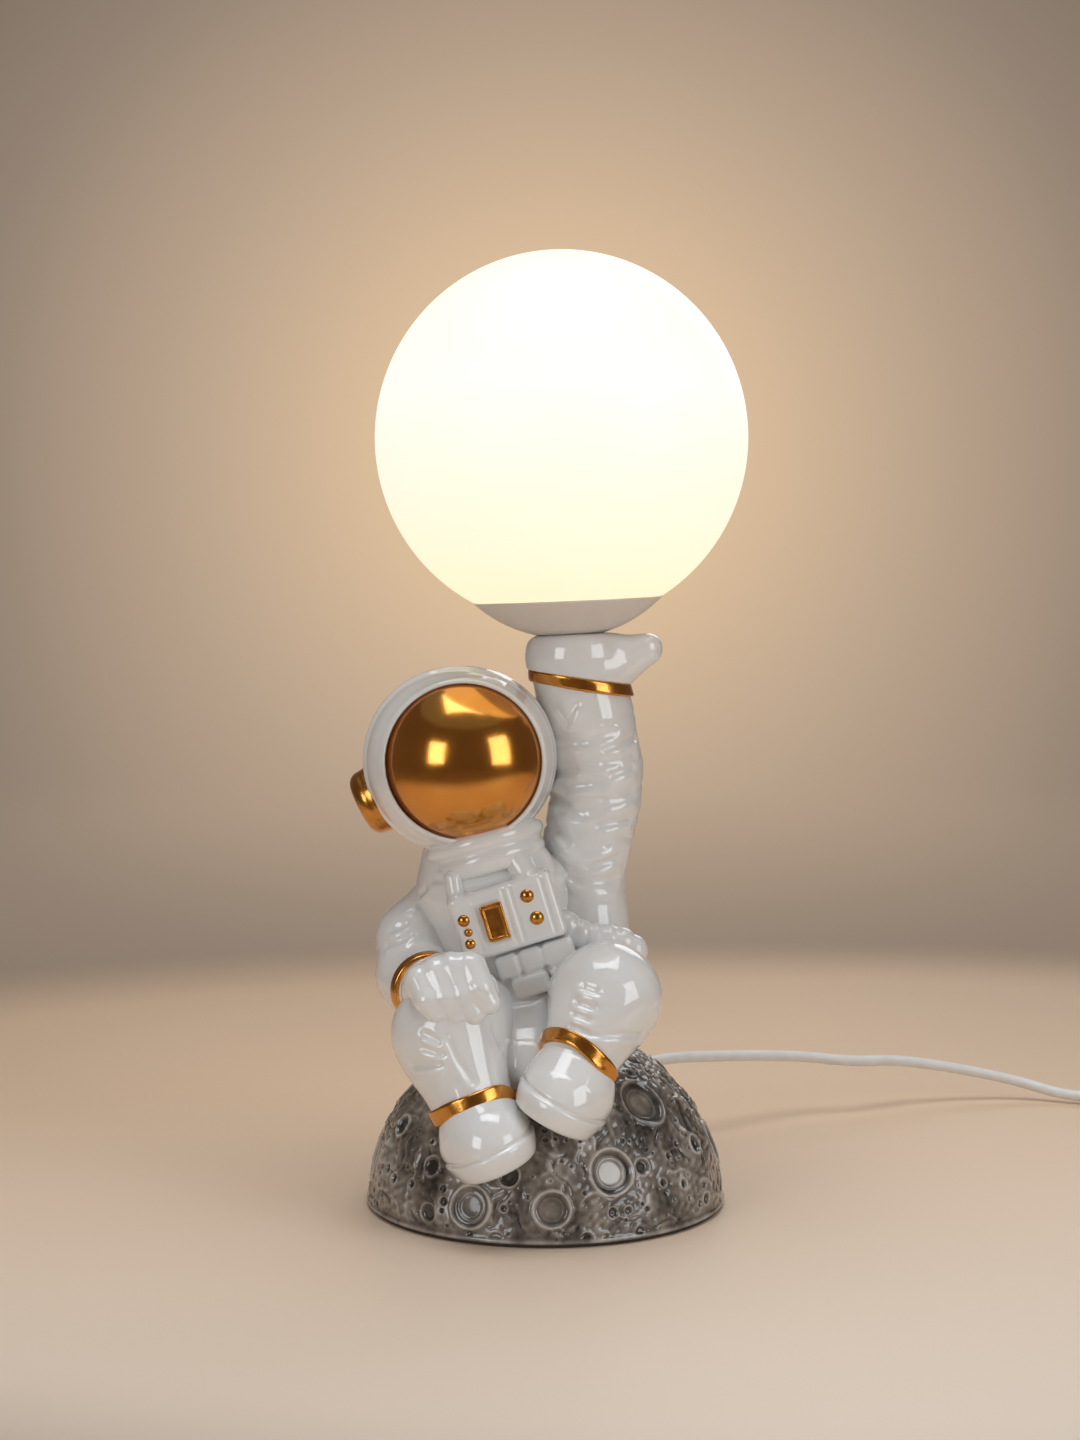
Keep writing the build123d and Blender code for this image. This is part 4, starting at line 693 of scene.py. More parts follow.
inner_radius = dish_radius - CAP_WALL
inner_floor = math.sqrt(inner_radius**2 - (dish_centre - CAP_WALL) ** 2)
inner_rim = math.sqrt(inner_radius**2 - (dish_centre - CAP_DEPTH) ** 2)
cap_profile = [(CAP_HOLE, CAP_WALL), (CAP_HOLE, 0.0), (CAP_FLAT - 0.6, 0.0)]
cap_profile += dish_arc(dish_radius, CAP_FLAT, SEAM_RADIUS, 28)
cap_profile += [(SEAM_RADIUS - 0.25, CAP_DEPTH)]
cap_profile += dish_arc(inner_radius, inner_rim, inner_floor, 20)
turned("cap_dish", cap_profile, HEAD_AXES, white_metal, "white_metal", ["shade_cap"])


# The figure
def leaned(degrees, back=0.0):
    """A way up that leans to the right of the view, and back."""
    a = math.radians(degrees)
    return unit((math.sin(a), back, math.cos(a)))


# The rock's dome, which the figure is cut to
ROCK_CENTRE = np.array([0.0, 0.0, -1.0])
ROCK_RADIUS = 72.0
ROCK_SEAM = 0.5
rock_skin = ball(ROCK_CENTRE, ROCK_RADIUS)

# Middle, half width and half depth of the trunk at some heights
TORSO_RINGS = np.array(
    [
        (-5, 4, 50, 28, 25),
        (-5, 4, 57, 29, 26),
        (-7, 4, 73, 31.5, 27.5),
        (-12, 3, 89, 33, 28),
        (-18, 2, 105, 33, 27),
        (-25, 1, 125, 28, 24),
        (-30, 0, 141, 20, 19),
        (-33, 0, 152, 14, 14),
    ]
)


def trunk(p):
    height = TORSO_RINGS[:, 2]
    x, y, a, b = (np.interp(p[:, 2], height, TORSO_RINGS[:, i]) for i in (0, 1, 3, 4))
    away = np.hypot((p[:, 0] - x) / a, (p[:, 1] - y) / b)
    side = (away - 1) * np.minimum(a, b) * 0.9
    return np.maximum(side, np.maximum(height[0] - p[:, 2], p[:, 2] - height[-1]))


# Limbs: places along each, with the radius there
LEFT_ARM = [
    (17, 8, 104, 18),
    (15.6, 9, 118, 16.2),
    (15, 9.5, 132, 15.6),
    (17.2, 10, 146, 16.8),
    (20.2, 10.5, 162, 17.4),
    (20.5, 10.5, 176, 17.9),
    (16.7, 10, 194, 18.3),
    (13.2, 9, 214, 18.8),
]
RIGHT_ARM = [
    (-44, 0, 121, 11.5),
    (-53, -5, 108, 14),
    (-52, -14, 94, 14.5),
    (-46, -33, 92, 12.8),
]
LEFT_LEG = [(12, -2, 84, 19), (23.5, -40, 89.5, 19.3), (11.9, -53, 66, 14.8)]
RIGHT_LEG = [(-20, -5, 80, 19.5), (-37.5, -42, 76, 20), (-26, -55, 46, 15)]
WRIST = np.array([13.2, 9.0, 211.5])
WRIST_UP = leaned(6.3)
BAND_UP = leaned(8)


def waves(seed, length, count=18):
    """A smooth wandering field about zero, of about one wave in each length."""
    random = np.random.default_rng(seed)
    ways = random.normal(size=(count, 3))
    ways /= lengths(ways)[:, None]
    ways *= 2 * math.pi / length * random.uniform(0.6, 1.3, size=(count, 1))
    phases = random.uniform(0, 2 * math.pi, count)
    return lambda p: np.cos(p @ ways.T + phases).sum(axis=1) / math.sqrt(count / 2)


def creases(axis, pitch, strength, middle, spread, seed):
    """Folds across a limb: waves along an axis that wander, strongest at a place."""
    axis = unit(axis)
    wander = waves(seed, 34.0)
    patch = waves(seed + 1, 22.0)

    def ripple(p):
        height = p @ axis + 1.6 * wander(p)
        wave = np.maximum(np.cos(2 * math.pi * height / pitch), 0) ** 3
        near = bell(lengths(p - np.array(middle)), spread)
        return strength * wave * near * np.clip(0.4 + 0.7 * patch(p), 0, 1.2)

    return ripple


def folds(field, lines, width=1.5, depth=1.0):
    """Folds along lines of the frame: each a groove with a soft roll under it."""
    strokes = []
    for line in lines:
        under = [(u, v + 2.6 * PIXELS_PER_MM) for u, v in line]
        strokes.append(stroke(field, line, width, depth))
        strokes.append(stroke(field, under, 1.4 * width, -0.6 * depth))
    return strokes


def band(limb, middle, axis, width, proud, wave, seed):
    """A gold band that stands proud of a limb, its edges a little uneven."""
    axis = unit(axis)
    wander = waves(seed, 26.0)
    rounding = 1.0

    def field(p):
        height = (p - np.array(middle)) @ axis + wave * wander(p)
        return rounded([limb(p) - proud + rounding, np.abs(height) - width / 2 + rounding], rounding)

    return field


# Raised arm, wrist band and open hand
LEFT_ARM_FOLDS = [
    [(555, 706), (567, 724), (575, 705)],
    [(548, 736), (578, 738)],
    [(555, 748), (582, 745)],
    [(606, 749), (636, 738)],
    [(612, 775), (632, 768)],
    [(553, 773), (575, 770)],
    [(554, 780), (566, 790), (587, 787)],
    [(553, 795), (566, 804)],
    [(560, 812), (582, 816)],
    [(600, 826), (628, 820)],
    [(556, 832), (567, 843)],
    [(590, 868), (618, 858)],
    [(560, 869), (578, 884)],
]
LEFT_ARM_ROLLS = [
    [(547, 739), (580, 743), (613, 734)],
    [(633, 757), (621, 762), (605, 763)],
    [(557, 774), (580, 784), (601, 784)],
    [(553, 800), (572, 813), (596, 811)],
    [(631, 794), (620, 800), (605, 803)],
    [(555, 833), (580, 850), (605, 846)],
    [(563, 866), (584, 883), (613, 883)],
]
left_arm = chain(LEFT_ARM, 6.0)
left_ripple = creases((-0.15, 0.0, 1.0), 10.0, 1.1, (20.0, 26.0, 165.0), 34.0, 3)
left_lines = folds(left_arm, LEFT_ARM_FOLDS, 1.8, 1.2) + folds(left_arm, LEFT_ARM_ROLLS, 2.6, 1.4)
left_folds = folded(left_arm, left_lines, left_ripple)
left_sleeve = meet(left_folds, half_space(WRIST, WRIST_UP), 1.0)
sculpt("left_sleeve", left_sleeve, "left_arm", 0.65, GLAZE)

left_wrist = band(left_arm, WRIST - 1.6 * WRIST_UP, BAND_UP, 5.2, 1.5, 0.15, 11)
sculpt("left_wrist_gold", left_wrist, "left_wrist_band", 0.5, LUSTRE)

palm = rod((13.1, 9.0, 208.0), (12.3, 9.0, 220.0), 19.2, 20.6)
thumb = rod((20.0, 7.0, 213.0), (40.0, 4.5, 223.4), 13.0, 6.8)
thumb = join([thumb, rod((30.0, 6.0, 222.0), (40.0, 4.5, 224.0), 8.0, 6.6)], 2.0)
left_hand = join([palm, thumb], 5.0)
left_hand = meet(left_hand, half_space(WRIST + 0.6 * WRIST_UP, -BAND_UP), 1.0)
left_hand = meet(left_hand, half_space(PALM, HEAD_UP), 4.0)
sculpt("left_hand", left_hand, "left_glove", 0.6, GLAZE)

# Trunk, with its hips, and what is worn on it
CHEST = np.array([-19.7, -14.0, 118.1])
CHEST_ACROSS = np.array([0.9563, 0.0, 0.2924])
CHEST_UP = np.array([-0.2924, 0.0, 0.9563])
CHEST_AXES = np.stack([CHEST_ACROSS, np.array([0.0, 1.0, 0.0]), CHEST_UP], axis=1)


def on_chest(x, up, y):
    return CHEST + x * CHEST_ACROSS + up * CHEST_UP + np.array([0, y - CHEST[1], 0])


shoulder = rod((-16.0, 4.0, 124.0), (14.0, 9.0, 127.0), 18.0, 14.0)
hip = rod((-2.0, 2.0, 84.0), (19.0, 2.0, 90.0), 24.0, 15.5)
belly = chain([(-12.0, -1.0, 88.0, 23.0), (-9.0, -14.0, 76.0, 20.0), (-8.0, -34.0, 62.0, 15.0)], 6.0)
chest = rod((-32.0, -9.0, 127.0), (-12.0, -9.0, 134.0), 16.0, 16.0)
body = join([trunk, shoulder, hip, belly, chest], 8.0)
HIP_ROLL = [(566, 926), (580, 934), (594, 938), (608, 940), (621, 943), (632, 950)]
roll = [ball(at_depth(pixel, -11.0), 6.4) for pixel in HIP_ROLL]
body = join([body, join(roll, 0.5)], 1.5)
TRUNK_FOLDS = [
    [(440, 868), (490, 862), (530, 848)],
    [(434, 880), (480, 878), (522, 866)],
    [(410, 905), (425, 890)],
    [(505, 1003), (530, 1000), (548, 990)],
]
trunk_ripple = creases((0.0, 0.0, 1.0), 9.0, 0.7, (-8.0, 26.0, 84.0), 34.0, 7)
trunk_form = less(folded(body, folds(body, TRUNK_FOLDS), trunk_ripple), rock_skin, ROCK_SEAM)
sculpt("trunk", trunk_form, "torso", 0.75, GLAZE, more=(14, 26, 2))

PACK_WIDTH = 42.0
PACK_HEIGHT = 26.6
PACK_FRONT = -31.5
pack = block(on_chest(5.0, 0.2, PACK_FRONT + 10), (PACK_WIDTH / 2, 10.0, PACK_HEIGHT / 2), CHEST_AXES, 2.6)
strap_right = rod(on_chest(17.0, 11.0, -26.0), on_chest(13.0, 25.0, -19.5), 4.8, 5.6)
strap_left = rod(on_chest(-12.6, 11.0, -27.0), on_chest(-11.4, 20.0, -24.0), 3.4, 3.6)
pack = join([pack, strap_right, strap_left], 2.0)
PANEL = 3.0  # width of the strip between the plate and the two buttons
pack_marks = []
for x in (7.4 - PANEL / 2, 7.4 + PANEL / 2, 21.4):
    line = np.array([on_chest(x, up, PACK_FRONT) for up in (-11.0, 12.0)])
    pack_marks.append((line, 0.7, 0.7))
frame_corners = [(-6.4, -9.0), (-6.4, 9.0), (4.4, 9.0), (4.4, -9.0), (-6.4, -9.0)]
pack_marks.append((np.array([on_chest(x - 0.2, up - 0.2, PACK_FRONT) for x, up in frame_corners]), 0.8, -0.7))
chest_box = folded(pack, pack_marks)
sculpt("chest_box", chest_box, "chest_pack", 0.45, GLAZE, more=(0, 0, 10))

# Gold plate, left bare: a raised border round a hammered panel
PLATE = sum(box_of("chest_plate")) / 2
PLATE_FRONT = PACK_FRONT - 2.2
PLATE_HALF = (4.5, 3.0, 7.3)
PLATE_BORDER = 1.3
plate_middle = (PLATE[0], PLATE_FRONT + PLATE_HALF[1], PLATE[2])
plate = block(plate_middle, PLATE_HALF, CHEST_AXES, 0.7)
panel_half = (PLATE_HALF[0] - PLATE_BORDER, 1.0, PLATE_HALF[2] - PLATE_BORDER)
panel = block((PLATE[0], PLATE_FRONT - 0.4, PLATE[2]), panel_half, CHEST_AXES, 0.4)
plate = less(plate, panel, 0.4)
hammered = waves(61, 4.0)
plate = folded(plate, [], lambda p: 0.05 * hammered(p))
sculpt("chest_badge", plate, "chest_plate", 0.3, LUSTRE)

# Pouches under the pack: middle across, up and in depth, width and height
POUCHES = [
    (-0.6, -19, -20.5, 9.4, 9.4),
    (9.2, -19, -20.5, 9.2, 9.4),
    (20.4, -19, -20.5, 12.4, 9.4),
    (6.2, -28.2, -23, 15, 8.4),
    (20.8, -28.2, -23, 12.2, 8.4),
]
cells = [block(on_chest(9.6, -23.0, -18.0), (15.0, 9.0, 8.0), CHEST_AXES, 2.0)]
for x, up, y, width, height in POUCHES:
    cells.append(block(on_chest(x, up, y), (width / 2, 9.5, height / 2), CHEST_AXES, 2.0))
sculpt("pouches", join(cells, 1.6), "belt_pouches", 0.5, GLAZE, more=(2, 0, 4))

COLLAR_UP = leaned(-16, 0.1)
COLLAR = np.array([-24.5, -6.0, 147.0])
neck = puck(COLLAR - 4.0 * COLLAR_UP, COLLAR_UP, 22.0, 9.0, 3.0)
rolls = [hoop(COLLAR, COLLAR_UP, 20.6, 3.8), hoop(COLLAR - 7.2 * COLLAR_UP, COLLAR_UP, 19.8, 3.4)]
collar = join([neck, *rolls], 1.5)
sculpt("collar", collar, "neck_ring", 0.6, GLAZE, more=(2, 2, 6))

# Rucksack with a lid and a flat pocket
RUCKSACK = sum(box_of("backpack")) / 2
RUCKSACK_AXES = turn_about_y(17.0)
LID_HEIGHT = 13.0
rucksack = block(RUCKSACK, (23.0, 14.0, 28.0), RUCKSACK_AXES, 8.0)
POCKET = RUCKSACK + RUCKSACK_AXES @ np.array([0, 11.0, -9.0])
pocket = block(POCKET, (15.0, 4.6, 12.0), RUCKSACK_AXES, 3.0)
rucksack = join([rucksack, pocket], 1.2)


def lid_line(p):
    height = (p - RUCKSACK) @ RUCKSACK_AXES[:, 2]
    return bell(height - LID_HEIGHT, 0.9)


sculpt("rucksack", folded(rucksack, [], lid_line), "backpack", 0.7, GLAZE)

# Helmet, visor and ear cap
HELMET = np.array([-35.5, -4.0, 179.6])
HELMET_RADIUS = 37.0
VISOR = np.array([-32.1, 0.0, 180.3])
VISOR_RADIUS = 30.5
AHEAD = np.array([0.0, -1.0, 0.0])
RIM_BACK = 12.0
RIM_FRONT = 26.6
RIM_RADIUS = 35.4
RIM_TAPER = 3.2
RIM_ROUNDING = 1.6


def rim_field(p):
    """The ring round the visor: a short cone, wider at its back."""
    ahead = -(p[:, 1] - VISOR[1])
    reach = np.hypot(p[:, 0] - VISOR[0], p[:, 2] - VISOR[2])
    share = np.clip((ahead - RIM_BACK) / (RIM_FRONT - RIM_BACK), -0.4, 1.2)
    radius = RIM_RADIUS - RIM_TAPER * share
    return rounded([reach - radius + RIM_ROUNDING, ahead - RIM_FRONT + RIM_ROUNDING, -ahead], RIM_ROUNDING)


brim = hoop((-35.2, -11.5, 179.8), (0, 1, 0), 35.3, 1.9)
helmet = join([ball(HELMET, HELMET_RADIUS), rim_field], 1.5)
helmet = join([helmet, brim], 2.0)
helmet = less(helmet, puck(VISOR + 40 * AHEAD, AHEAD, VISOR_RADIUS + 0.1, 16.0, 0.5), 0.8)
sculpt("helmet_shell", helmet, "helmet", 0.65, GLAZE)

VISOR_BALL = 33.26
VISOR_BACK = 11.74
edge = math.degrees(math.asin((25.0 - VISOR_BACK) / VISOR_BALL))
visor_profile = [(0.0, 20.0), (29.9, 20.0), (30.4, 20.5), (VISOR_RADIUS, 24.0)]
visor_profile += arc((0, VISOR_BACK), VISOR_BALL, edge, 89, 90)
visor_profile += [(0.0, VISOR_BACK + VISOR_BALL)]
VISOR_AXES = (VISOR, np.array([1.0, 0, 0]), np.array([0, 0, 1.0]), AHEAD)
turned("visor_shield", visor_profile, VISOR_AXES, visor_gold, "gold_lustre", ["visor"])

EAR = np.array([-68.8, 0.0, 162.6])
EAR_OUT = unit((-0.891, 0.0, -0.454))
EAR_RADIUS = 13.5
ear = puck(EAR - 2.4 * EAR_OUT, EAR_OUT, EAR_RADIUS, 8.6, 5.0)
ear = join([ear, puck(EAR - 8.0 * EAR_OUT, EAR_OUT, EAR_RADIUS, 8.0, 1.0)], 1.0)
sculpt("ear_disc", ear, "ear_cap", 0.5, LUSTRE)

# Lowered arm and the hand on the knee
RIGHT_ARM_FOLDS = [
    [(392, 930), (405, 925)],
    [(388, 945), (402, 940), (412, 932)],
    [(420, 905), (428, 920)],
    [(432, 903), (440, 925)],
]
right_arm = chain(RIGHT_ARM, 5.0)
right_ripple = creases((-0.6, 0.2, 1.0), 8.0, 0.7, (-56.0, 2.0, 106.0), 20.0, 5)
right_folds = folded(right_arm, folds(right_arm, RIGHT_ARM_FOLDS), right_ripple)
sculpt("right_sleeve", right_folds, "right_arm", 0.65, GLAZE)

right_wrist = band(right_arm, (-45.8, -33.6, 92.2), (6, -19, -2), 5.0, 2.0, 0.2, 12)
right_wrist = meet(right_wrist, ball((-46.0, -33.0, 92.0), 17.0), 0.5)
sculpt("right_wrist_gold", right_wrist, "right_wrist_band", 0.45, LUSTRE)

# Each finger in the photograph's frame: knuckle, middle joint, tip
FINGERS = [
    [(421, 982), (428, 1000), (436, 1012)],
    [(437, 974), (446, 997), (455, 1014)],
    [(453, 969), (463, 995), (474, 1013)],
    [(470, 968), (480, 988), (489, 1003)],
]
FINGER_DEPTHS = (-54.0, -58.5, -59.0)
FINGER_RADII = (6.6, 5.6, 4.6)
hand = chain([(-43.6, -40.0, 93.0, 12.6), (-37.5, -46.0, 94.5, 13.0), (-28.5, -47.0, 92.0, 11.0)], 4.0)
fingers = []
for line in FINGERS:
    joints = [(*at_depth(pixel, y), r) for pixel, y, r in zip(line, FINGER_DEPTHS, FINGER_RADII)]
    fingers.append(chain(joints, 1.0))
right_hand = join([hand, join(fingers, 1.6)], 4.0)
sculpt("right_hand", right_hand, "right_glove", 0.55, GLAZE)

# Legs, ankle bands and boots
SOLE_THICKNESS = 9.5
SOLE_DEPTH = 12.5
WELT_DEPTH = 0.9
ANKLE_RADIUS = 14.2
BOOT_RADIUS = 17.0
LEFT_LEG_FOLDS = [
    [(583, 988), (598, 993)],
    [(577, 1003), (592, 1008)],
    [(574, 1014), (590, 1020)],
    [(573, 1028), (590, 1034), (640, 1036)],
]
RIGHT_LEG_FOLDS = [
    [(424, 1034), (438, 1042)],
    [(424, 1048), (442, 1054)],
    [(414, 1066), (440, 1064)],
    [(446, 1036), (458, 1062), (472, 1082)],
    [(494, 1030), (500, 1046)],
]


def leg(side, joints, lines, seed, rise, lean):
    knee = np.array(joints[1][:3])
    ankle = np.array(joints[2][:3])
    shin = unit(knee - ankle)
    form = chain(joints, 10.0)
    behind = knee + np.array([0, 18.0, -8.0])
    ripple = creases(shin, 8.5, 0.6, behind, 24.0, seed)
    clear = less(folded(form, folds(form, lines), ripple), rock_skin, ROCK_SEAM)
    sculpt(f"{side}_trouser", clear, f"{side}_leg", 0.65, GLAZE)
    gold = band(form, ankle + rise * shin, shin + np.array([lean, 0, 0]), 6.0, 1.7, 0.7, seed + 20)
    gold = meet(gold, ball(ankle, 23.0), 0.5)
    sculpt(f"{side}_ankle_gold", gold, f"{side}_ankle_band", 0.5, LUSTRE, more=(2, 2, 2))


def boot(side, joints, middle, toe, down):
    ankle = np.array(joints[2][:3])
    middle = np.array(middle)
    down = unit(down)
    shaft = rod(ankle, middle, ANKLE_RADIUS, BOOT_RADIUS)
    upper = join([shaft, rod(middle, toe[:3], BOOT_RADIUS, toe[3])], 5.0)
    sole = middle + SOLE_DEPTH * down

    def welt(p):
        height = (p - sole) @ -down
        groove = WELT_DEPTH * bell(height - SOLE_THICKNESS, 0.8)
        return groove - WELT_DEPTH / (1 + np.exp((height - SOLE_THICKNESS) / 0.5))

    form = meet(folded(upper, [], welt), half_space(sole, down), 1.8)
    form = less(form, rock_skin, ROCK_SEAM)
    sculpt(f"{side}_shoe", form, f"{side}_boot", 0.6, GLAZE)


leg("left", LEFT_LEG, LEFT_LEG_FOLDS, 31, 2.6, 0.13)
leg("right", RIGHT_LEG, RIGHT_LEG_FOLDS, 37, 3.4, 0.05)
boot("left", LEFT_LEG, (8.5, -57.0, 57.0), (5.0, -63.5, 53.0, 15.5), (-0.469, 0.0, -0.883))
boot("right", RIGHT_LEG, (-23.0, -59.9, 40.0), (-20.5, -66.4, 37.5, 15.5), (0.407, 0.0, -0.914))

# Rock: a dome whose skin is pushed in and out
ROCK_FLOOR = 1.5
ROCK_WALL = 5.0
AROUND = 960
UPWARD = 270
INNER_ROWS = 40
ROCK_TOP = math.pi / 2 - 0.02
INNER_TOP = math.pi / 2 - 0.05
FOOT_ROLL = 0.7

# Main craters: azimuth and elevation on the dome in degrees, radius, depth, inner ring and pale floor
CRATERS = [
    (-68, 22.5, 9.2, 2.2, 0.9, 1),
    (-44, 43, 10, 1.6, 0.35, 0.3),
    (-88, 12.5, 7, 1.2, 0.3, 0.1),
    (-114, 12, 8, 0.9, 0.4, 0),
    (-102, 22, 4.2, 1.2, 0.3, 0),
    (-26, 25, 3.8, 1.4, 0.2, -0.3),
    (-156, 31, 4.4, 1.4, 0.4, 0),
    (-4, 21, 9, 2, 0.5, 0.1),
    (28, 34, 11, 2.2, 0.6, 0.2),
    (62, 8, 6.5, 1.6, 0.4, 0),
    (104, 30, 10, 2.2, 0.7, 0.3),
    (146, 18, 9, 2, 0.6, 0.2),
    (172, 40, 9.5, 2, 0.6, 0.1),
    (-172, 17, 7, 1.6, 0.4, 0),
]
RIM_WIDTH = 0.65
RIM_HEIGHT = 0.8

# Strewn craters: how many are tried, radius, depth and rim height
STREWN = [(26, 3.6, 0.8, 0.45), (120, 2.0, 0.8, 0.4), (460, 1.0, 0.6, 0.25)]


def dome_way(azimuth, elevation):
    a, e = math.radians(azimuth), math.radians(elevation)
    return np.array([math.cos(e) * math.cos(a), math.cos(e) * math.sin(a), math.sin(e)])


def crater_list():
    """The main craters, then smaller ones strewn between them."""
    craters = [(dome_way(a, e), radius, depth, RIM_HEIGHT, *rest) for a, e, radius, depth, *rest in CRATERS]
    random = np.random.default_rng(5)
    for count, size, depth, lip in STREWN:
        for _ in range(count):
            way = dome_way(random.uniform(0, 360), math.degrees(math.asin(random.uniform(0.05, 0.92))))
            share = random.uniform(0.65, 1.25)
            apart = [ROCK_RADIUS * np.linalg.norm(way - c[0]) - c[1] - 1.3 * size * share for c in craters]
            if min(apart) > 0:
                craters.append((way, size * share, depth * share, lip * share, 0.0, -0.3))
    return craters


def rock_shape(ways):
    """How far the rock's skin stands out from the plain dome, and how pale its glaze is."""
    places = ROCK_RADIUS * ways
    push = 0.3 * waves(41, 40.0)(places) + 0.22 * waves(42, 15.0)(places) + 0.1 * waves(45, 3.2)(places)
    pale = np.zeros_like(push)
    uneven = waves(47, 20.0)(places)
    for seed, height in ((51, 0.6), (53, -0.6), (55, 0.45)):
        line = waves(seed, 15.0)(places)
        patch = np.clip(1.2 * waves(seed + 1, 17.0)(places) - 0.1, 0, 1)
        push += height * patch * bell(line, 0.22)
    for way, radius, depth, lip, ring, light in crater_list():
        near = np.flatnonzero(ways @ way > math.cos(min(2.2 * radius / ROCK_RADIUS, 1.5)))
        gap = ROCK_RADIUS * lengths(ways[near] - way) * (1 + 0.035 * uneven[near])
        share = gap / radius
        width = max(RIM_WIDTH * min(radius / 5.0, 1), 0.45)
        bowl = -depth * np.clip(1.6 * (1 - share**2), 0, 1)
        edge = lip * bell(gap - radius, width)
        inner = ring * bell(gap - 0.64 * radius, 0.8 * width)
        calm = np.clip((share - 0.85) / 0.4, 0.1, 1)
        push[near] = push[near] * calm + bowl + edge + inner
        pale[near] += light * np.clip(3 * (0.75 - share), 0, 1)
    return push, pale


def blurred(grid, reach):
    """A grid's running mean, round the dome and up it."""
    total = sum(np.roll(grid, shift, axis=1) for shift in range(-reach, reach + 1)) / (2 * reach + 1)
    padded = np.pad(total, ((reach, reach), (0, 0)), mode="edge")
    return sum(padded[shift : shift + len(grid)] for shift in range(2 * reach + 1)) / (2 * reach + 1)


def dome_ways(lowest, highest, rows):
    turns = np.linspace(0, 2 * math.pi, AROUND, endpoint=False)
    up, turn = np.meshgrid(np.linspace(lowest, highest, rows), turns, indexing="ij")
    return np.stack([np.cos(up) * np.cos(turn), np.cos(up) * np.sin(turn), np.sin(up)], axis=2).reshape(-1, 3)


def rock():
    lowest = math.asin((ROCK_FLOOR - ROCK_CENTRE[2]) / ROCK_RADIUS)
    ways = dome_ways(lowest, ROCK_TOP, UPWARD)
    push, pale = (grid.reshape(UPWARD, AROUND) for grid in rock_shape(ways))
    rise = np.linspace(0, (ROCK_TOP - lowest) * ROCK_RADIUS, UPWARD)[:, None]
    push *= np.clip((rise - 1.5) / 3.0, 0, 1)
    push += FOOT_ROLL * bell(rise - 0.8, 1.0)
    # Darker in the hollows and paler on raised rims: partly the rock's own dark wash, partly painted shade
    # and painted highlight.
    wash_and_shade = blurred(push, 5) - push - pale
    outer = ROCK_CENTRE + (ROCK_RADIUS + push.reshape(-1, 1)) * ways
    outer[:AROUND, 2] = ROCK_FLOOR
    inner_radius = ROCK_RADIUS - ROCK_WALL
    inner_low = math.asin((ROCK_FLOOR - ROCK_CENTRE[2]) / inner_radius)
    inner = ROCK_CENTRE + inner_radius * dome_ways(inner_low, INNER_TOP, INNER_ROWS)

    def ring(row):
        return row * AROUND + np.arange(AROUND)

    def strip(low, high):
        return np.stack([low, np.roll(low, -1), np.roll(high, -1), high], axis=1).tolist()

    faces = []
    for row in range(UPWARD - 1):
        faces += strip(ring(row), ring(row + 1))
    for row in range(UPWARD, UPWARD + INNER_ROWS - 1):
        faces += strip(ring(row + 1), ring(row))
    faces += strip(ring(UPWARD), ring(0))
    faces.append(ring(UPWARD - 1).tolist())
    faces.append(ring(UPWARD + INNER_ROWS - 1)[::-1].tolist())
    piece = put("rock", np.concatenate([outer, inner]), faces, rock_glaze(), "rock_glaze", ["rock_base"])
    shade = piece.data.attributes.new("wash_and_shade", "FLOAT", "POINT")
    shade.data.foreach_set("value", np.concatenate([wash_and_shade.ravel(), np.zeros(len(inner))]))


# The rock's colours run from pale rims to dark hollows: its own wash, with painted shade and painted
# highlight.
WASH_AND_SHADE_REACH = 0.8
ROCK_STOPS = [
    (0.05, (0.5, 0.465, 0.43)),
    (0.38, (0.23, 0.203, 0.178)),
    (0.58, (0.12, 0.104, 0.09)),
    (0.85, (0.025, 0.021, 0.018)),
]


def rock_glaze():
    """Grey glaze, darker in the hollows and paler on the rims: partly its own dark wash, partly painted shade
    and painted highlight.
    """
    material, tree, shader = tree_of("rock_glaze")
    wash_and_shade = tree.nodes.new("ShaderNodeAttribute")
    wash_and_shade.attribute_name = "wash_and_shade"
    total = wash_and_shade.outputs["Fac"]
    streaks = noise_of(tree, 130.0, detail=4.0, stretch=(1.0, 1.0, 0.3))
    for source, strength in ((noise_of(tree, 60.0, detail=6.0), 0.45), (streaks, 0.25)):
        total = math_of(tree, "ADD", total, span_of(tree, source, -strength, strength))
    links = {
        "Base Color": ramp_of(tree, span_of(tree, total, within=(-WASH_AND_SHADE_REACH, WASH_AND_SHADE_REACH)), ROCK_STOPS),
        "Roughness": span_of(tree, noise_of(tree, 120.0), 0.14, 0.28),
    }
    feed(tree, shader, {"Coat Weight": 0.8, "Coat Roughness": 0.06}, links)
    return material


rock()


# Stage and light: a round floor that rises into a wall, so that every side has a backdrop
FLOOR_RADIUS = 1.9
COVE = 0.5
WALL_TOP = 2.6
STAGE_STEPS = 128
# Painted shade: the floor's colour grows darker further back.
FLOOR_PAINTED_SHADE_STOPS = [(0.1, (0.87, 0.73, 0.61)), (0.58, (0.8, 0.58, 0.405))]  # by distance behind a line in front
FLOOR_LINE = -0.4
LIGHT_COLOUR = (0.91, 0.97, 1.0)
# Beyond the pool, camera and glossy rays see the wall's painted glow and shade in place of the lit floor.
POOL_MIDDLE = (0.1, 0.13, 0.0)  # round this place the floor is bright, and beyond it has the wall's colour
POOL_SHAPE = (0.75, 1.0, 0.0)
POOL_REACH = (0.38, 0.56)
# The lamp's glow on the wall is painted: palest behind the globe, fading to painted shade.
PAINTED_GLOW_PLACE = (0.02, FLOOR_RADIUS + COVE, 0.44)  # the wall is palest behind the globe
PAINTED_GLOW_SHAPE = (0.25, 0.094, 0.25)
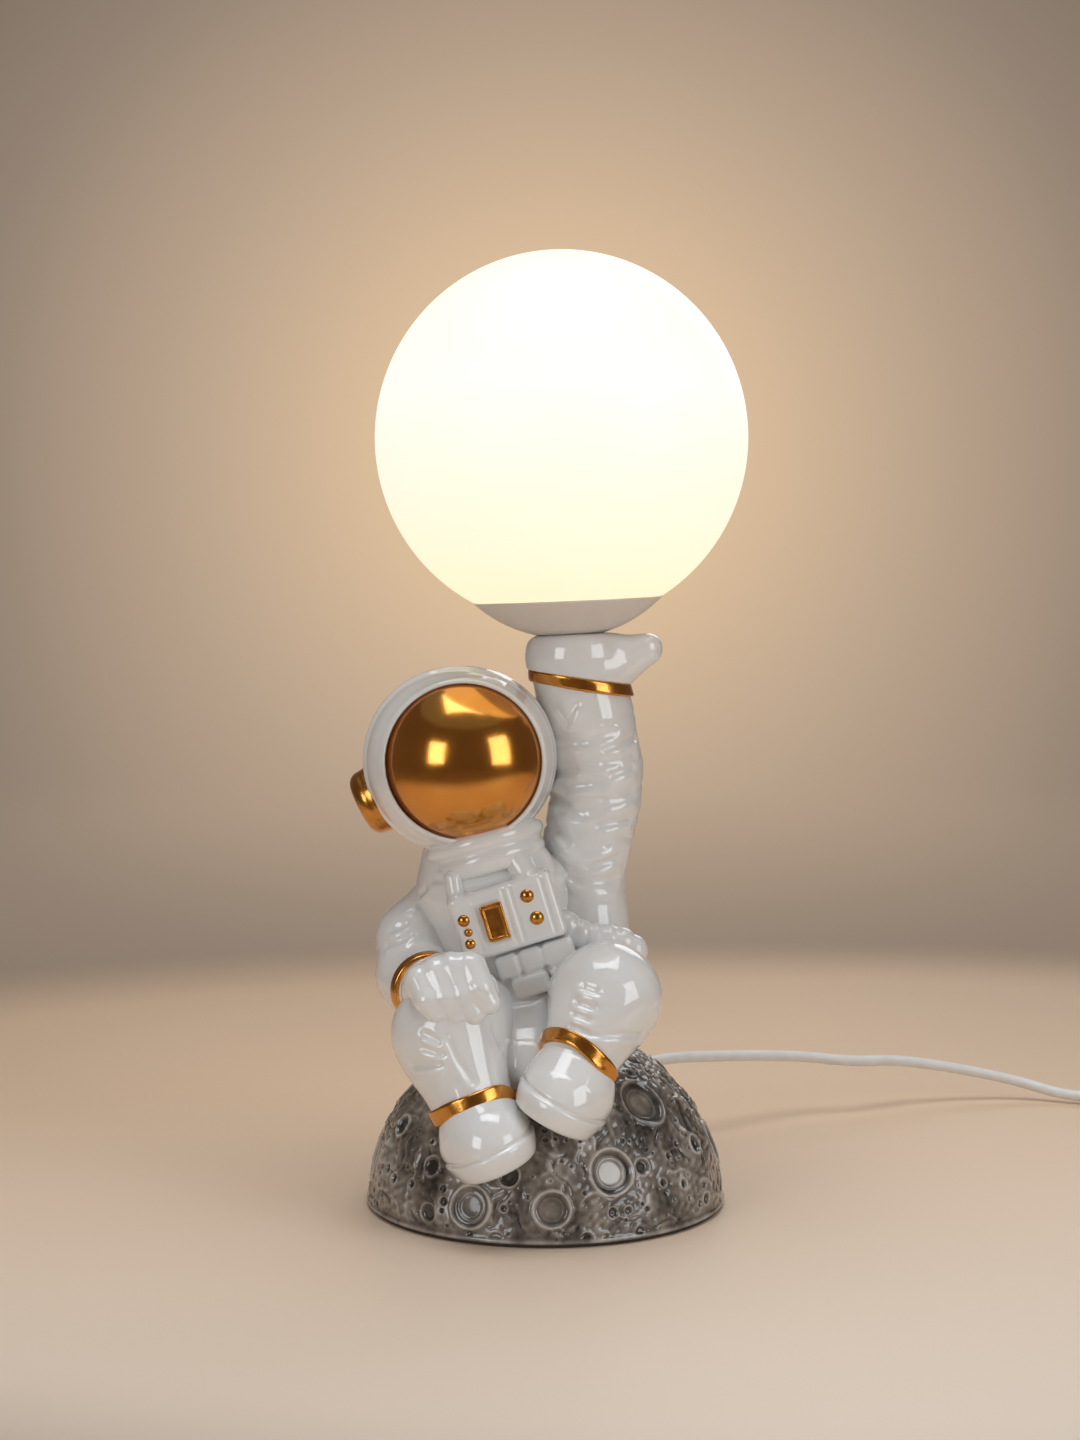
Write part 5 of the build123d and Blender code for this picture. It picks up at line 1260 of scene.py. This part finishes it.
# Painted glow, fading to painted shade with distance from behind the globe.
WALL_PAINTED_GLOW_STOPS = [
    (0.065, (0.7, 0.505, 0.325)),
    (0.12, (0.525, 0.388, 0.275)),
    (0.2, (0.3, 0.23, 0.175)),
    (0.26, (0.2, 0.155, 0.12)),
    (0.34, (0.13, 0.1, 0.077)),
]


def distance_from(tree, place, scale):
    """Distance of a surface's points from a place, with each axis weighed."""
    source = tree.nodes.new("ShaderNodeTexCoord").outputs["Object"]
    for operation, amount in (("SUBTRACT", place), ("MULTIPLY", scale)):
        step = node_of(tree, "ShaderNodeVectorMath", {1: amount}, {0: source})
        step.operation = operation
        source = step.outputs["Vector"]
    length = node_of(tree, "ShaderNodeVectorMath", {}, {0: source})
    length.operation = "LENGTH"
    return length.outputs["Value"]


def backdrop_paint():
    """Pale floor, with painted shade further out; its far part and the wall show a painted glow and painted
    shade as emission.
    """
    material, tree, shader = tree_of("backdrop")
    # Painted shade on the floor, darker further back.
    floor = ramp_of(tree, distance_from(tree, (0, FLOOR_LINE, 0), (0, 1, 0)), FLOOR_PAINTED_SHADE_STOPS)
    feed(tree, shader, {"Roughness": 0.5}, {"Base Color": floor})
    # The wall's painted glow and shade, an emission seen by camera and glossy rays.
    colour = ramp_of(tree, distance_from(tree, PAINTED_GLOW_PLACE, PAINTED_GLOW_SHAPE), WALL_PAINTED_GLOW_STOPS)
    wall = node_of(tree, "ShaderNodeEmission", {}, {"Color": colour})
    path = tree.nodes.new("ShaderNodeLightPath")
    looks = path.outputs["Is Camera Ray"]
    for ray in ("Is Glossy Ray", "Is Transmission Ray"):
        looks = math_of(tree, "MAXIMUM", looks, path.outputs[ray])
    rise = span_of(tree, distance_from(tree, POOL_MIDDLE, POOL_SHAPE), within=POOL_REACH)
    rise.node.interpolation_type = "SMOOTHSTEP"
    share = math_of(tree, "MULTIPLY", looks, rise)
    links = {"Fac": share, 1: shader.outputs["BSDF"], 2: wall.outputs["Emission"]}
    mix = node_of(tree, "ShaderNodeMixShader", {}, links)
    tree.links.new(mix.outputs["Shader"], tree.nodes["Material Output"].inputs["Surface"])
    return material


def backdrop():
    profile = [(0.0, 0.0)] + [(reach, 0.0) for reach in np.linspace(0.1, FLOOR_RADIUS, 20)]
    for a in np.linspace(0.05, math.pi / 2, 24):
        profile.append((FLOOR_RADIUS + COVE * math.sin(a), COVE * (1 - math.cos(a))))
    profile.append((FLOOR_RADIUS + COVE, WALL_TOP))
    points, faces = lathe(profile[::-1], (np.zeros(3), *np.eye(3)), STAGE_STEPS, closed=False)
    piece = smooth_mesh("backdrop", points, faces, backdrop_paint())


def softbox(name, place, target, width, height, power, spread=180):
    light = bpy.data.lights.new(name, "AREA")
    light.shape = "RECTANGLE"
    light.size = width
    light.size_y = height
    light.energy = power
    light.color = LIGHT_COLOUR
    light.spread = math.radians(spread)
    lamp = bpy.data.objects.new(name, light)
    lamp.location = place
    lamp.rotation_euler = (Vector(target) - Vector(place)).to_track_quat("-Z", "Y").to_euler()
    lamp.visible_camera = False
    scene.collection.objects.link(lamp)


backdrop()
softbox("softbox_left", (-0.72, -0.92, 0.4), (-0.03, 0.0, 0.18), 0.45, 0.56, 2.9)
softbox("softbox_right", (0.92, -0.74, 0.46), (0.0, 0.0, 0.18), 0.6, 0.76, 4.1)
softbox("softbox_top", (0.0, 0.0, 1.3), (0.0, 0.05, 0.0), 0.9, 0.8, 2.4, spread=90)
softbox("softbox_back", (0.45, 1.25, 0.85), (0.0, 0.0, 0.16), 0.7, 0.6, 2.2)

world = bpy.data.worlds.new("studio")
world.use_nodes = True
air = {"Color": (0.7, 0.72, 0.75, 1.0), "Strength": 0.3}
feed(world.node_tree, world.node_tree.nodes["Background"], air, {})
scene.world = world
